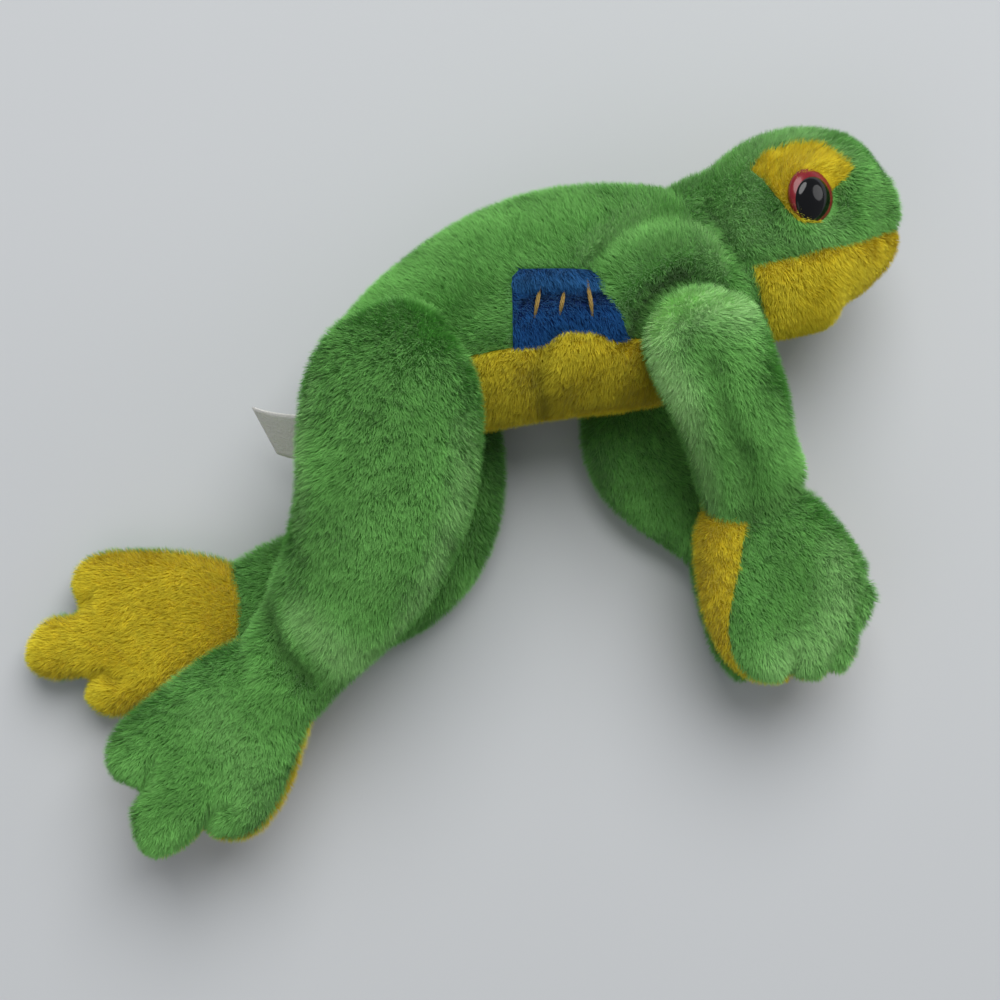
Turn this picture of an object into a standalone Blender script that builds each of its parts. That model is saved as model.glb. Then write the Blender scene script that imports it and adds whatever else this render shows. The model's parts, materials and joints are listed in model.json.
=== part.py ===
"""A stuffed plush frog lying on its left side, built from its sewn skins, stuffing, eyes and label.

The frog's side-to-side axis is +Z. Its right side, called near, is up. Its left side, called far,
rests on the ground. Its head points along +X and its back faces +Y. Every limb is a plush skin
round a stuffing core, and every crease where the toy bends has an empty on its axis.
"""

import math

import bmesh
import bpy
from mathutils import Matrix, Vector
from mathutils.bvhtree import BVHTree

# Cloth and gaps
SKIN_WALL = 0.0025
SEAM_GAP = 0.0006
STUFFING_GAP = 0.0020
CREASE_GAP = 0.0006
FACE_GAP = 0.0005
OVERRUN = 0.004
MERGE_DISTANCE = 0.00005
BALL_SEGMENTS = 18

# Torso
BODY_LENGTH = 0.114
BODY_HEIGHT = 0.059
BODY_WIDTH = 0.052
HALF_DEPTH = 0.032
FLOOR_CUT = 0.0005

# Head
HEAD_LENGTH = 0.0405
HEAD_HEIGHT = 0.053
HEAD_WIDTH = 0.046
NECK_RADIUS = 0.0225
NECK_HALF_WIDTH = 0.0142

# Legs and feet
LEG_REACH = 0.070
FAR_LEG_REACH = 0.0645
LEG_WIDTH = 0.045
LEG_THICKNESS = 0.028
HIP_RADIUS = 0.0245
HIP_SWEEP = 0.0285
HIP_PLANE = 0.0163
ANKLE_RADIUS = 0.0140
ANKLE_HALF_WIDTH = 0.0100
NEAR_BALL_LIFT = 0.0016
FOOT_LENGTH = 0.059
FOOT_WIDTH = 0.046
FOOT_THICKNESS = 0.018
HEEL_START = 0.0055

# Arms and hands
ARM_REACH = 0.045
FAR_ARM_REACH = 0.049
ARM_WIDTH = 0.029
ARM_THICKNESS = 0.024
SHOULDER_RADIUS = 0.0155
SHOULDER_SWEEP = 0.0275
FAR_SHOULDER_SWEEP = 0.0415
SHOULDER_PLANE = 0.0155
WRIST_RADIUS = 0.0134
WRIST_HALF_WIDTH = 0.0095
HAND_LENGTH = 0.050
HAND_WIDTH = 0.040
HAND_THICKNESS = 0.018
PALM_START = 0.0045

# Eyes
EYE_RADIUS = 0.0063
EYE_DOME = 0.0022
EYE_SEAT = 0.0006
PUPIL_RADIUS = 0.0045
PUPIL_DOME = 0.0022
PUPIL_DROP = 0.0008
SHANK_RADIUS = 0.0016
SHANK_LENGTH = 0.0070
WASHER_RADIUS = 0.0046
WASHER_SEAT = 0.0022
WASHER_THICKNESS = 0.0012

# Embroidery and label
STITCH_RADIUS = 0.0006
TAG_LENGTH = 0.0150
TAG_WIDTH = 0.0160
TAG_THICKNESS = 0.0005
TAG_TUCK = 0.0015

# Rest angles of the limbs in the lying pose
LEG_ANGLE = math.radians(-111.5)
FAR_LEG_ANGLE = math.radians(-124.3)
ARM_ANGLE = math.radians(-73.4)
FAR_ARM_ANGLE = math.radians(-79.0)
FOOT_ANGLE = math.radians(-124.0)
FAR_FOOT_ANGLE = math.radians(-161.0)
HAND_ANGLE = math.radians(-66.0)
FAR_HAND_ANGLE = math.radians(-71.0)

GREEN = (0.09, 0.35, 0.08)
YELLOW = (0.76, 0.50, 0.03)
BLUE = (0.02, 0.07, 0.36)
FIBRE = (0.86, 0.86, 0.84)
RED = (0.30, 0.02, 0.03)
BLACK = (0.01, 0.01, 0.012)
NYLON = (0.80, 0.80, 0.76)
THREAD = (0.62, 0.36, 0.06)
RIBBON = (0.85, 0.84, 0.80)
PLUSH_ROUGHNESS = 0.95
PLASTIC_ROUGHNESS = 0.12

NEAR, FAR = 1, -1
SIDES = ((NEAR, "near"), (FAR, "far"))

for old in list(bpy.data.objects):
    bpy.data.objects.remove(old)

frog = bpy.data.collections.new("plush_frog")
cutters = bpy.data.collections.new("cutters")
for collection in (frog, cutters):
    bpy.context.scene.collection.children.link(collection)


def material(name, colour, roughness):
    made = bpy.data.materials.new(name)
    made.use_nodes = True
    shader = made.node_tree.nodes["Principled BSDF"]
    shader.inputs["Base Color"].default_value = (*colour, 1)
    shader.inputs["Roughness"].default_value = roughness
    shader.inputs["Metallic"].default_value = 0
    return made


def empty(name, place, turn=0, parent=None):
    """An empty at a joint, turned about the side-to-side axis."""
    made = bpy.data.objects.new(name, None)
    made.location = place
    made.rotation_euler = (0, 0, turn)
    made.parent = parent
    frog.objects.link(made)
    return made


def piece(name, mesh, colour, roughness, parent):
    """A sub-part: its own object and material, carried by a joint's empty."""
    made = bpy.data.objects.new(name, mesh)
    made.parent = parent
    frog.objects.link(made)
    if not mesh.materials:
        mesh.materials.append(None)
    made.material_slots[0].link = "OBJECT"
    made.material_slots[0].material = material(name, colour, roughness)
    return made


def finished(bm, name):
    """The bmesh as a smooth-shaded mesh with its faces pointing out."""
    bmesh.ops.recalc_face_normals(bm, faces=bm.faces)
    mesh = bpy.data.meshes.new(name)
    bm.to_mesh(mesh)
    bm.free()
    mesh.shade_smooth()
    return mesh


def prism(name, outline, low, high):
    """A flat outline of x and y points pulled up into a solid block."""
    bm = bmesh.new()
    base = bm.faces.new([bm.verts.new((x, y, low)) for x, y in outline])
    pulled = bmesh.ops.extrude_face_region(bm, geom=[base])["geom"]
    top = [v for v in pulled if isinstance(v, bmesh.types.BMVert)]
    bmesh.ops.translate(bm, verts=top, vec=(0, 0, high - low))
    return finished(bm, name)


def drum(name, radius, low, high, segments):
    """An upright cylinder between two heights."""
    bm = bmesh.new()
    bmesh.ops.create_cone(
        bm,
        cap_ends=True,
        segments=segments,
        radius1=radius,
        radius2=radius,
        depth=high - low,
        matrix=Matrix.Translation((0, 0, (low + high) / 2)),
    )
    return finished(bm, name)


def spheroid(name, radius, half_width, rise, segments):
    """A ball squashed along the side-to-side axis, so that it turns freely about that axis."""
    bm = bmesh.new()
    squash = Matrix.Diagonal((radius, radius, half_width, 1))
    bmesh.ops.create_uvsphere(
        bm,
        u_segments=segments,
        v_segments=segments // 2,
        radius=1,
        matrix=Matrix.Translation((0, 0, rise)) @ squash,
    )
    return finished(bm, name)


def ring(centre, across, half_width, half_thickness, columns):
    """The points of one cross-section, an ellipse that stands on the form's centre line."""
    points = []
    for i in range(columns):
        turn = math.tau * i / columns
        offset = across * (half_width * math.cos(turn))
        points.append(centre + offset + Vector((0, 0, half_thickness * math.sin(turn))))
    return points


def stuffed_form(name, stations, columns, swell=1):
    """A closed cage of rings along a centre line: x, y, z, half width and half thickness of each."""
    bm = bmesh.new()
    rings = []
    for i, (x, y, z, half_width, half_thickness) in enumerate(stations):
        before = stations[max(i - 1, 0)]
        after = stations[min(i + 1, len(stations) - 1)]
        along = Vector((after[0] - before[0], after[1] - before[1], 0)).normalized()
        across = Vector((-along.y, along.x, 0))
        centre = Vector((x, y, z))
        points = ring(centre, across, half_width * swell, half_thickness * swell, columns)
        rings.append([bm.verts.new(p) for p in points])
    for low, high in zip(rings, rings[1:]):
        for i in range(columns):
            j = (i + 1) % columns
            bm.faces.new((low[i], low[j], high[j], high[i]))
    bm.faces.new(rings[0])
    bm.faces.new(rings[-1])
    return finished(bm, name)


def cage_swell(columns):
    """How much wider a cage ring is than the smooth surface that subdivision makes from it."""
    return 6 / (4 + 2 * math.cos(math.tau / columns))


def shrunk(stations):
    """The stuffing's stations: without the two closed ends, one wall and gap inside the skin."""
    cores = []
    for before, here, after in zip(stations, stations[1:], stations[2:]):
        x, y, z, wide, thick = (
            (low + 6 * middle + high) / 8 for low, middle, high in zip(before, here, after)
        )
        wide_slopes = []
        thick_slopes = []
        for first, second in ((before, here), (here, after)):
            run = math.hypot(second[0] - first[0], second[1] - first[1])
            wide_slopes.append(abs(second[3] - first[3]) / run)
            thick_slopes.append((abs(second[4] - first[4]) + abs(second[2] - first[2])) / run)
        inset = SKIN_WALL + STUFFING_GAP
        wide -= inset * math.hypot(1, max(wide_slopes))
        thick -= inset * math.hypot(1, max(thick_slopes))
        cores.append((x, y, z, wide, thick))
    return cores


def subdivide(made):
    modifier = made.modifiers.new("rounding", "SUBSURF")
    modifier.levels = 1
    modifier.render_levels = 1


def cut(made, tool, keep="DIFFERENCE"):
    modifier = made.modifiers.new(tool.name, "BOOLEAN")
    modifier.object = tool
    modifier.operation = keep
    modifier.solver = "EXACT"


def tool(name, mesh, parent, cuts=()):
    """A cutter or the space that a piece may fill, itself cut by other tools."""
    made = bpy.data.objects.new(name, mesh)
    made.parent = parent
    made.hide_render = True
    made.display_type = "WIRE"
    cutters.objects.link(made)
    for other in cuts:
        cut(made, other)
    return made


def rounded_end(name, parent, outline, ball, place):
    """What is cut away round a ball, so that the piece ends in the round crease that it turns in."""
    radius, half_width, rise = ball
    ball_mesh = spheroid(f"{name}_ball", radius, half_width, rise, BALL_SEGMENTS)
    ball_tool = tool(f"{name}_ball", ball_mesh, parent)
    ball_tool.location = place
    block = prism(f"{name}_end", outline, -HALF_DEPTH * 2, HALF_DEPTH * 2)
    return tool(f"{name}_end", block, parent, [ball_tool])


def skin(name, mesh, colour, parent, space, rounding=True):
    """A plush skin: the rounded form made hollow, then kept only inside its own space."""
    made = piece(name, mesh, colour, PLUSH_ROUGHNESS, parent)
    if rounding:
        subdivide(made)
    cloth = made.modifiers.new("cloth", "SOLIDIFY")
    cloth.thickness = SKIN_WALL
    cloth.offset = -1
    cut(made, space, "INTERSECT")
    return made


def stuffing(name, mesh, parent, space):
    made = piece(name, mesh, FIBRE, 1, parent)
    cut(made, space, "INTERSECT")
    return made


def turned(name, profile, colour, roughness, parent, segments):
    """A turned piece: points of radius and height, run round the local Z axis from the outer top.

    A profile that starts away from the axis is closed into a ring.
    """
    bm = bmesh.new()
    points = [bm.verts.new((radius, 0, height)) for radius, height in profile]
    for low, high in zip(points, points[1:]):
        bm.edges.new((low, high))
    if profile[0][0]:
        bm.edges.new((points[-1], points[0]))
    mesh = bpy.data.meshes.new(name)
    bm.to_mesh(mesh)
    bm.free()
    made = piece(name, mesh, colour, roughness, parent)
    modifier = made.modifiers.new("turning", "SCREW")
    modifier.steps = segments
    modifier.render_steps = segments
    modifier.use_merge_vertices = True
    modifier.merge_threshold = MERGE_DISTANCE
    return made


def box_outline(low_x, high_x, low_y, high_y):
    return [(low_x, low_y), (high_x, low_y), (high_x, high_y), (low_x, high_y)]


def narrowed(outline, gap):
    """The outline drawn in towards its middle by about the gap."""
    middle = sum((Vector(point) for point in outline), Vector((0, 0))) / len(outline)
    points = []
    for point in outline:
        offset = Vector(point) - middle
        points.append(tuple(middle + offset * (1 - gap / offset.length)))
    return points


# The torso's empty is at the widest part of the belly, on the frog's middle plane
root = empty("frog", (0, 0, 0))
torso = empty("torso", (0, 0, 0), parent=root)

BODY_COLUMNS = 8
BODY_STATION_SHARES = [
    (-0.50, -0.26, 0.20, 0.23),
    (-0.43, -0.18, 0.54, 0.52),
    (-0.25, -0.09, 0.84, 0.75),
    (-0.02, 0.00, 1.02, 1.02),
    (0.21, 0.01, 0.97, 0.84),
    (0.39, 0.015, 0.73, 0.50),
    (0.465, -0.02, 0.37, 0.27),
]
NECK_PLACE_SHARES = (0.389, 0.093)
HIP_PLACE_SHARES = (-0.364, -0.195)
SHOULDER_PLACE_SHARES = (0.298, -0.039)
TAG_PLACE_SHARES = (-0.528, -0.245)
TAG_ANGLE = math.radians(200.0)


def on_body(shares):
    return Vector((shares[0] * BODY_LENGTH, shares[1] * BODY_LENGTH, 0))


def body_outline(shares, drop=0):
    return [(x * BODY_LENGTH, y * BODY_LENGTH - drop) for x, y in shares]


neck = empty("neck", on_body(NECK_PLACE_SHARES), parent=torso)
hip_near = empty("hip_near", on_body(HIP_PLACE_SHARES), LEG_ANGLE, torso)
hip_far = empty("hip_far", on_body(HIP_PLACE_SHARES), FAR_LEG_ANGLE, torso)
shoulder_near = empty("shoulder_near", on_body(SHOULDER_PLACE_SHARES), ARM_ANGLE, torso)
shoulder_far = empty("shoulder_far", on_body(SHOULDER_PLACE_SHARES), FAR_ARM_ANGLE, torso)
ankle_near = empty("ankle_near", (LEG_REACH, 0, 0), FOOT_ANGLE - LEG_ANGLE, hip_near)
ankle_far = empty("ankle_far", (FAR_LEG_REACH, 0, 0), FAR_FOOT_ANGLE - FAR_LEG_ANGLE, hip_far)
wrist_near = empty("wrist_near", (ARM_REACH, 0, 0), HAND_ANGLE - ARM_ANGLE, shoulder_near)
wrist_far = empty("wrist_far", (FAR_ARM_REACH, 0, 0), FAR_HAND_ANGLE - FAR_ARM_ANGLE, shoulder_far)
tag_seam = empty("tag_seam", on_body(TAG_PLACE_SHARES), TAG_ANGLE, torso)

# Room in the torso for the neck, and a flat at each hip and shoulder for the limb that turns there
neck_socket = tool(
    "neck_socket",
    spheroid(
        "neck_socket",
        NECK_RADIUS + CREASE_GAP,
        NECK_HALF_WIDTH + CREASE_GAP,
        0,
        BALL_SEGMENTS,
    ),
    neck,
)

KEYHOLE_POINTS = 20
HIP_FAN = (math.radians(-168), math.radians(-32))
SHOULDER_FAN = (math.radians(-137), math.radians(-18))
FAR_SHOULDER_FAN = (math.radians(-166), math.radians(-18))


def keyhole(radius, reach, fan):
    """A round outline that is wider where the limb swings."""
    points = []
    for i in range(KEYHOLE_POINTS):
        turn = math.tau * i / KEYHOLE_POINTS - math.pi
        out = reach if fan[0] <= turn <= fan[1] else radius
        points.append((out * math.cos(turn), out * math.sin(turn)))
    return points


def recess(name, joint, side, plane, outline):
    low, high = sorted((side * plane, side * (HALF_DEPTH + OVERRUN)))
    made = tool(name, prism(name, outline, low, high), torso)
    made.location = joint.location
    return made


SHOULDER_ROOM = {NEAR: (SHOULDER_SWEEP, SHOULDER_FAN), FAR: (FAR_SHOULDER_SWEEP, FAR_SHOULDER_FAN)}
hip_outline = keyhole(HIP_RADIUS + CREASE_GAP, HIP_SWEEP + CREASE_GAP, HIP_FAN)
hip_recesses = {}
shoulder_recesses = {}
for side, word in SIDES:
    sweep, fan = SHOULDER_ROOM[side]
    shoulder_outline = keyhole(SHOULDER_RADIUS + CREASE_GAP, sweep + CREASE_GAP, fan)
    hip_recesses[side] = recess(f"hip_recess_{word}", hip_near, side, HIP_PLANE, hip_outline)
    shoulder_recesses[side] = recess(
        f"shoulder_recess_{word}", shoulder_near, side, SHOULDER_PLANE, shoulder_outline
    )
recesses = [*hip_recesses.values(), *shoulder_recesses.values()]

# Back, belly and blue flank patches share the torso's form and are parted at their seams
BELLY_SEAM_SHARES = [
    (-0.62, -0.44),
    (-0.46, -0.27),
    (-0.34, -0.18),
    (-0.175, -0.12),
    (-0.095, -0.106),
    (-0.030, -0.098),
    (0.010, -0.070),
    (0.070, -0.070),
    (0.123, -0.092),
    (0.151, -0.086),
    (0.32, -0.085),
    (0.60, -0.06),
    (0.60, -0.55),
    (-0.62, -0.55),
]
PATCH_SHARES = [
    (-0.095, -0.15),
    (-0.098, 0.038),
    (-0.082, 0.055),
    (0.062, 0.055),
    (0.087, 0.038),
    (0.151, -0.086),
    (0.170, -0.15),
]
body_stations = [
    (x * BODY_LENGTH, y * BODY_LENGTH, 0, wide * BODY_HEIGHT / 2, thick * BODY_WIDTH / 2)
    for x, y, wide, thick in BODY_STATION_SHARES
]
body_form = stuffed_form("body_form", body_stations, BODY_COLUMNS, cage_swell(BODY_COLUMNS))
body_core = stuffed_form("body_core", shrunk(body_stations), BODY_COLUMNS)

belly_mesh = prism("belly", body_outline(BELLY_SEAM_SHARES), -HALF_DEPTH, HALF_DEPTH)
belly_clearance = tool("belly_clearance", belly_mesh, torso)
patch_windows = []
for side, word in SIDES:
    low, high = sorted((0, side * HALF_DEPTH))
    window = prism(f"patch_window_{word}", body_outline(PATCH_SHARES), low, high)
    patch_windows.append(tool(f"patch_window_{word}", window, torso))

half_slot = TAG_THICKNESS / 2 + FACE_GAP
tag_slot_outline = box_outline(
    -TAG_TUCK - FACE_GAP, TAG_LENGTH, -TAG_WIDTH / 2 - FACE_GAP, TAG_WIDTH / 2 + FACE_GAP
)
tag_slot = tool("tag_slot", prism("tag_slot", tag_slot_outline, -half_slot, half_slot), tag_seam)

body_box = box_outline(-BODY_LENGTH, BODY_LENGTH, -BODY_LENGTH, BODY_LENGTH)
torso_room = prism("torso_room", body_box, -HALF_DEPTH, HALF_DEPTH)
back_space = tool(
    "back_space",
    torso_room,
    torso,
    [belly_clearance, *patch_windows, neck_socket, *recesses, tag_slot],
)
belly_outline = body_outline(BELLY_SEAM_SHARES, SEAM_GAP)
belly_space = tool(
    "belly_space",
    prism("belly_space", belly_outline, -HALF_DEPTH, HALF_DEPTH),
    torso,
    [neck_socket, *recesses],
)
core_space = tool("core_space", torso_room, torso, [neck_socket, *recesses])

skin("back_skin", body_form, GREEN, torso, back_space)
skin("belly_panel", body_form, YELLOW, torso, belly_space)
for side, word in SIDES:
    low, high = sorted((0, side * HALF_DEPTH))
    outline = narrowed(body_outline(PATCH_SHARES), SEAM_GAP)
    patch_space = tool(
        f"patch_space_{word}",
        prism(f"patch_space_{word}", outline, low, high),
        torso,
        [belly_clearance, shoulder_recesses[side]],
    )
    skin(f"flank_patch_{word}", body_form, BLUE, torso, patch_space)
stuffing("body_stuffing", body_core, torso, core_space)


def rounded_surface(form):
    """The smooth surface of a form, for finding points on it."""
    probe = bpy.data.objects.new("probe", form)
    cutters.objects.link(probe)
    subdivide(probe)
    bpy.context.view_layer.update()
    rounded = probe.evaluated_get(bpy.context.evaluated_depsgraph_get()).data
    tree = BVHTree.FromPolygons(
        [v.co.copy() for v in rounded.vertices], [tuple(p.vertices) for p in rounded.polygons]
    )
    bpy.data.objects.remove(probe)
    return tree


def point_on(tree, x, y, side):
    """The point of a surface straight above or below x and y."""
    start = Vector((x, y, side * HALF_DEPTH * 2))
    return tree.ray_cast(start, Vector((0, 0, -side)))[0]


# Three embroidered bars across each blue patch: middle x and y, and length
STITCH_SHARES = [(-0.045, -0.010, 0.058), (0.004, -0.012, 0.036), (0.060, -0.004, 0.062)]
STITCH_POINTS = 5
STITCH_LIFT = STITCH_RADIUS + FACE_GAP
body_surface = rounded_surface(body_form)
for side, word in SIDES:
    for number, (x, y, length) in enumerate(STITCH_SHARES, 1):
        name = f"patch_stitch_{word}_{number}"
        curve = bpy.data.curves.new(name, "CURVE")
        curve.dimensions = "3D"
        curve.bevel_depth = STITCH_RADIUS
        curve.bevel_resolution = 1
        curve.use_fill_caps = True
        line = curve.splines.new("POLY")
        line.points.add(STITCH_POINTS - 1)
        for i, point in enumerate(line.points):
            along = y + length * (i / (STITCH_POINTS - 1) - 1 / 2)
            place = point_on(body_surface, x * BODY_LENGTH, along * BODY_LENGTH, side)
            point.co = (*(place + Vector((0, 0, side * STITCH_LIFT))), 1)
        piece(name, curve, THREAD, PLUSH_ROUGHNESS, torso)

# The woven label, tucked into the rump seam
tag_outline = box_outline(-TAG_TUCK, TAG_LENGTH - TAG_TUCK, -TAG_WIDTH / 2, TAG_WIDTH / 2)
tag_mesh = prism("tag", tag_outline, -TAG_THICKNESS / 2, TAG_THICKNESS / 2)
piece("tag", tag_mesh, RIBBON, PLUSH_ROUGHNESS, tag_seam)

# Head: one closed form whose back end is the round neck that turns in the torso
HEAD_COLUMNS = 8
HEAD_STATION_SHARES = [
    (-0.58, 0.00, 0.44, 0.32),
    (-0.34, 0.00, 0.76, 0.55),
    (0.01, 0.03, 0.89, 0.66),
    (0.31, 0.17, 0.99, 0.89),
    (0.56, 0.26, 0.90, 0.96),
    (0.78, 0.30, 0.68, 0.76),
    (0.96, 0.30, 0.36, 0.42),
]
MOUTH_SHARES = [
    (0.02, -0.95),
    (0.05, -0.02),
    (0.16, 0.02),
    (0.48, 0.08),
    (1.40, 0.27),
    (1.40, -0.95),
]
EYE_PATCH_SHARES = [
    (0.05, 0.49),
    (0.17, 0.61),
    (0.31, 0.645),
    (0.49, 0.59),
    (0.62, 0.50),
    (0.57, 0.40),
    (0.50, 0.27),
    (0.44, 0.18),
    (0.35, 0.17),
    (0.26, 0.21),
    (0.20, 0.31),
    (0.13, 0.39),
]
EYE_PLACE_SHARES = (0.385, 0.335)
EYE_TURN = math.radians(35.0)
EYE_LIFT = math.radians(4.0)
EYE_SEGMENTS = 14
DOME_STEPS = 4


def head_outline(shares, gap=0):
    return [(x * HEAD_LENGTH + gap, y * HEAD_LENGTH - gap) for x, y in shares]


head_stations = [
    (x * HEAD_LENGTH, y * HEAD_LENGTH, 0, wide * HEAD_HEIGHT / 2, thick * HEAD_WIDTH / 2)
    for x, y, wide, thick in HEAD_STATION_SHARES
]
head_form = stuffed_form("head_form", head_stations, HEAD_COLUMNS, cage_swell(HEAD_COLUMNS))
head_core = stuffed_form("head_core", shrunk(head_stations), HEAD_COLUMNS)
head_surface = rounded_surface(head_form)


def dome(radius, base, rise):
    """Points over a low dome, from its middle down to its rim."""
    turns = (math.pi / 2 * i / DOME_STEPS for i in range(DOME_STEPS + 1))
    return [(radius * math.sin(turn), base + rise * math.cos(turn)) for turn in turns]


eye_holes = {}
washer_pockets = {}
for side, word in SIDES:
    x, y = (share * HEAD_LENGTH for share in EYE_PLACE_SHARES)
    seat = empty(f"eye_seat_{word}", point_on(head_surface, x, y, side), parent=neck)
    flip = Matrix.Rotation(0 if side == NEAR else math.pi, 3, "X")
    tilt = Matrix.Rotation(side * EYE_TURN, 3, "Y") @ Matrix.Rotation(-side * EYE_LIFT, 3, "X")
    seat.rotation_euler = (tilt @ flip).to_euler()
    rim = FACE_GAP - EYE_SEAT
    shank_end = rim - SHANK_LENGTH
    iris_profile = [
        *dome(EYE_RADIUS, rim, EYE_DOME),
        (SHANK_RADIUS, rim),
        (SHANK_RADIUS, shank_end),
        (0, shank_end),
    ]
    eye = turned(f"eye_{word}", iris_profile, RED, PLASTIC_ROUGHNESS, seat, EYE_SEGMENTS)
    pupil_base = rim + EYE_DOME / 2
    pupil_profile = [*dome(PUPIL_RADIUS, pupil_base, PUPIL_DOME), (0, pupil_base)]
    pupil = turned(
        f"pupil_{word}", pupil_profile, BLACK, PLASTIC_ROUGHNESS, seat, EYE_SEGMENTS
    )
    pupil.location = (0, -PUPIL_DROP, 0)
    socket_radius = PUPIL_RADIUS + FACE_GAP
    socket_mesh = drum("socket", socket_radius, pupil_base - FACE_GAP, OVERRUN, EYE_SEGMENTS)
    socket = tool(f"pupil_socket_{word}", socket_mesh, seat)
    socket.location = pupil.location
    cut(eye, socket)
    washer_top = -WASHER_SEAT - FACE_GAP
    washer_bore = SHANK_RADIUS + FACE_GAP
    washer_profile = [
        (WASHER_RADIUS, washer_top),
        (WASHER_RADIUS, washer_top - WASHER_THICKNESS),
        (washer_bore, washer_top - WASHER_THICKNESS),
        (washer_bore, washer_top),
    ]
    turned(f"eye_washer_{word}", washer_profile, NYLON, PLASTIC_ROUGHNESS, seat, EYE_SEGMENTS)
    window = drum(f"eye_window_{word}", EYE_RADIUS + FACE_GAP, -EYE_SEAT, OVERRUN, EYE_SEGMENTS)
    hole = drum(f"shank_hole_{word}", washer_bore, shank_end, 0, EYE_SEGMENTS)
    pocket_radius = WASHER_RADIUS + FACE_GAP
    pocket = drum(
        f"washer_pocket_{word}", pocket_radius, shank_end - FACE_GAP, -WASHER_SEAT, EYE_SEGMENTS
    )
    washer_pockets[side] = tool(f"washer_pocket_{word}", pocket, seat)
    eye_holes[side] = [
        tool(f"eye_window_{word}", window, seat),
        tool(f"shank_hole_{word}", hole, seat),
        washer_pockets[side],
    ]

mouth_mesh = prism("mouth", head_outline(MOUTH_SHARES), -HALF_DEPTH, HALF_DEPTH)
throat_clearance = tool("throat_clearance", mouth_mesh, neck)
eye_patch_windows = []
for side, word in SIDES:
    low, high = sorted((0, side * HALF_DEPTH))
    window = prism(f"eye_patch_window_{word}", head_outline(EYE_PATCH_SHARES), low, high)
    eye_patch_windows.append(tool(f"eye_patch_window_{word}", window, neck))
    patch_outline = narrowed(head_outline(EYE_PATCH_SHARES), SEAM_GAP)
    eye_patch_space = tool(
        f"eye_patch_space_{word}",
        prism(f"eye_patch_space_{word}", patch_outline, low, high),
        neck,
        eye_holes[side],
    )
    skin(f"eye_patch_{word}", head_form, YELLOW, neck, eye_patch_space)

head_room = prism(
    "head_room",
    box_outline(-HEAD_LENGTH, HEAD_LENGTH * 2, -HEAD_LENGTH * 2, HEAD_LENGTH * 2),
    -HALF_DEPTH,
    HALF_DEPTH,
)
neck_ball = (NECK_RADIUS, NECK_HALF_WIDTH, 0)
behind_neck = box_outline(-HEAD_LENGTH * 2, -CREASE_GAP, -HEAD_LENGTH * 2, HEAD_LENGTH * 2)
neck_end = rounded_end("neck", neck, behind_neck, neck_ball, (0, 0, 0))
head_space = tool(
    "head_space",
    head_room,
    neck,
    [neck_end, throat_clearance, *eye_patch_windows, *eye_holes[NEAR], *eye_holes[FAR]],
)
throat_outline = head_outline(MOUTH_SHARES, SEAM_GAP)
throat_space = tool(
    "throat_space", prism("throat_space", throat_outline, -HALF_DEPTH, HALF_DEPTH), neck
)
head_core_space = tool(
    "head_core_space", head_room, neck, [neck_end, *washer_pockets.values()]
)
skin("head_skin", head_form, GREEN, neck, head_space)
skin("throat_panel", head_form, YELLOW, neck, throat_space)
stuffing("head_stuffing", head_core, neck, head_core_space)

# Limbs: shares of the reach along and across, of the half depth, of the width and of the thickness
LIMB_COLUMNS = 6
NEAR_LEG_SHARES = [
    (-0.30, 0.00, 0.69, 0.40, 0.36),
    (-0.17, 0.01, 0.66, 0.80, 0.68),
    (0.04, 0.04, 0.61, 1.00, 0.86),
    (0.36, 0.13, 0.53, 0.99, 1.00),
    (0.69, 0.14, 0.30, 0.87, 0.91),
    (0.95, 0.04, -0.04, 0.62, 0.72),
    (1.16, 0.00, -0.10, 0.58, 0.66),
    (1.26, 0.00, -0.10, 0.40, 0.46),
]
FAR_LEG_SHARES = [
    (-0.32, 0.00, -0.70, 0.40, 0.36),
    (-0.19, 0.03, -0.67, 0.80, 0.68),
    (0.03, 0.11, -0.625, 1.00, 0.86),
    (0.32, 0.34, -0.565, 1.00, 1.00),
    (0.65, 0.31, -0.65, 0.88, 0.83),
    (0.93, 0.08, -0.72, 0.63, 0.64),
    (1.16, 0.00, -0.73, 0.58, 0.62),
    (1.27, 0.00, -0.73, 0.40, 0.44),
]
NEAR_ARM_SHARES = [
    (-0.20, 0.01, 0.69, 0.41, 0.33),
    (-0.09, 0.01, 0.67, 0.84, 0.72),
    (0.20, 0.02, 0.62, 1.01, 0.97),
    (0.58, 0.04, 0.43, 0.97, 1.00),
    (0.92, 0.01, -0.04, 0.86, 0.80),
    (1.22, 0.00, -0.10, 0.80, 0.74),
    (1.40, 0.00, -0.10, 0.55, 0.50),
]
FAR_ARM_SHARES = [
    (-0.18, 0.00, -0.70, 0.41, 0.33),
    (-0.08, 0.00, -0.67, 0.83, 0.71),
    (0.10, -0.04, -0.65, 1.00, 0.90),
    (0.38, -0.27, -0.68, 1.00, 0.90),
    (0.70, -0.36, -0.69, 0.94, 0.83),
    (0.94, -0.10, -0.72, 0.84, 0.72),
    (1.20, 0.03, -0.73, 0.78, 0.68),
    (1.36, 0.06, -0.73, 0.50, 0.46),
]


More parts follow.
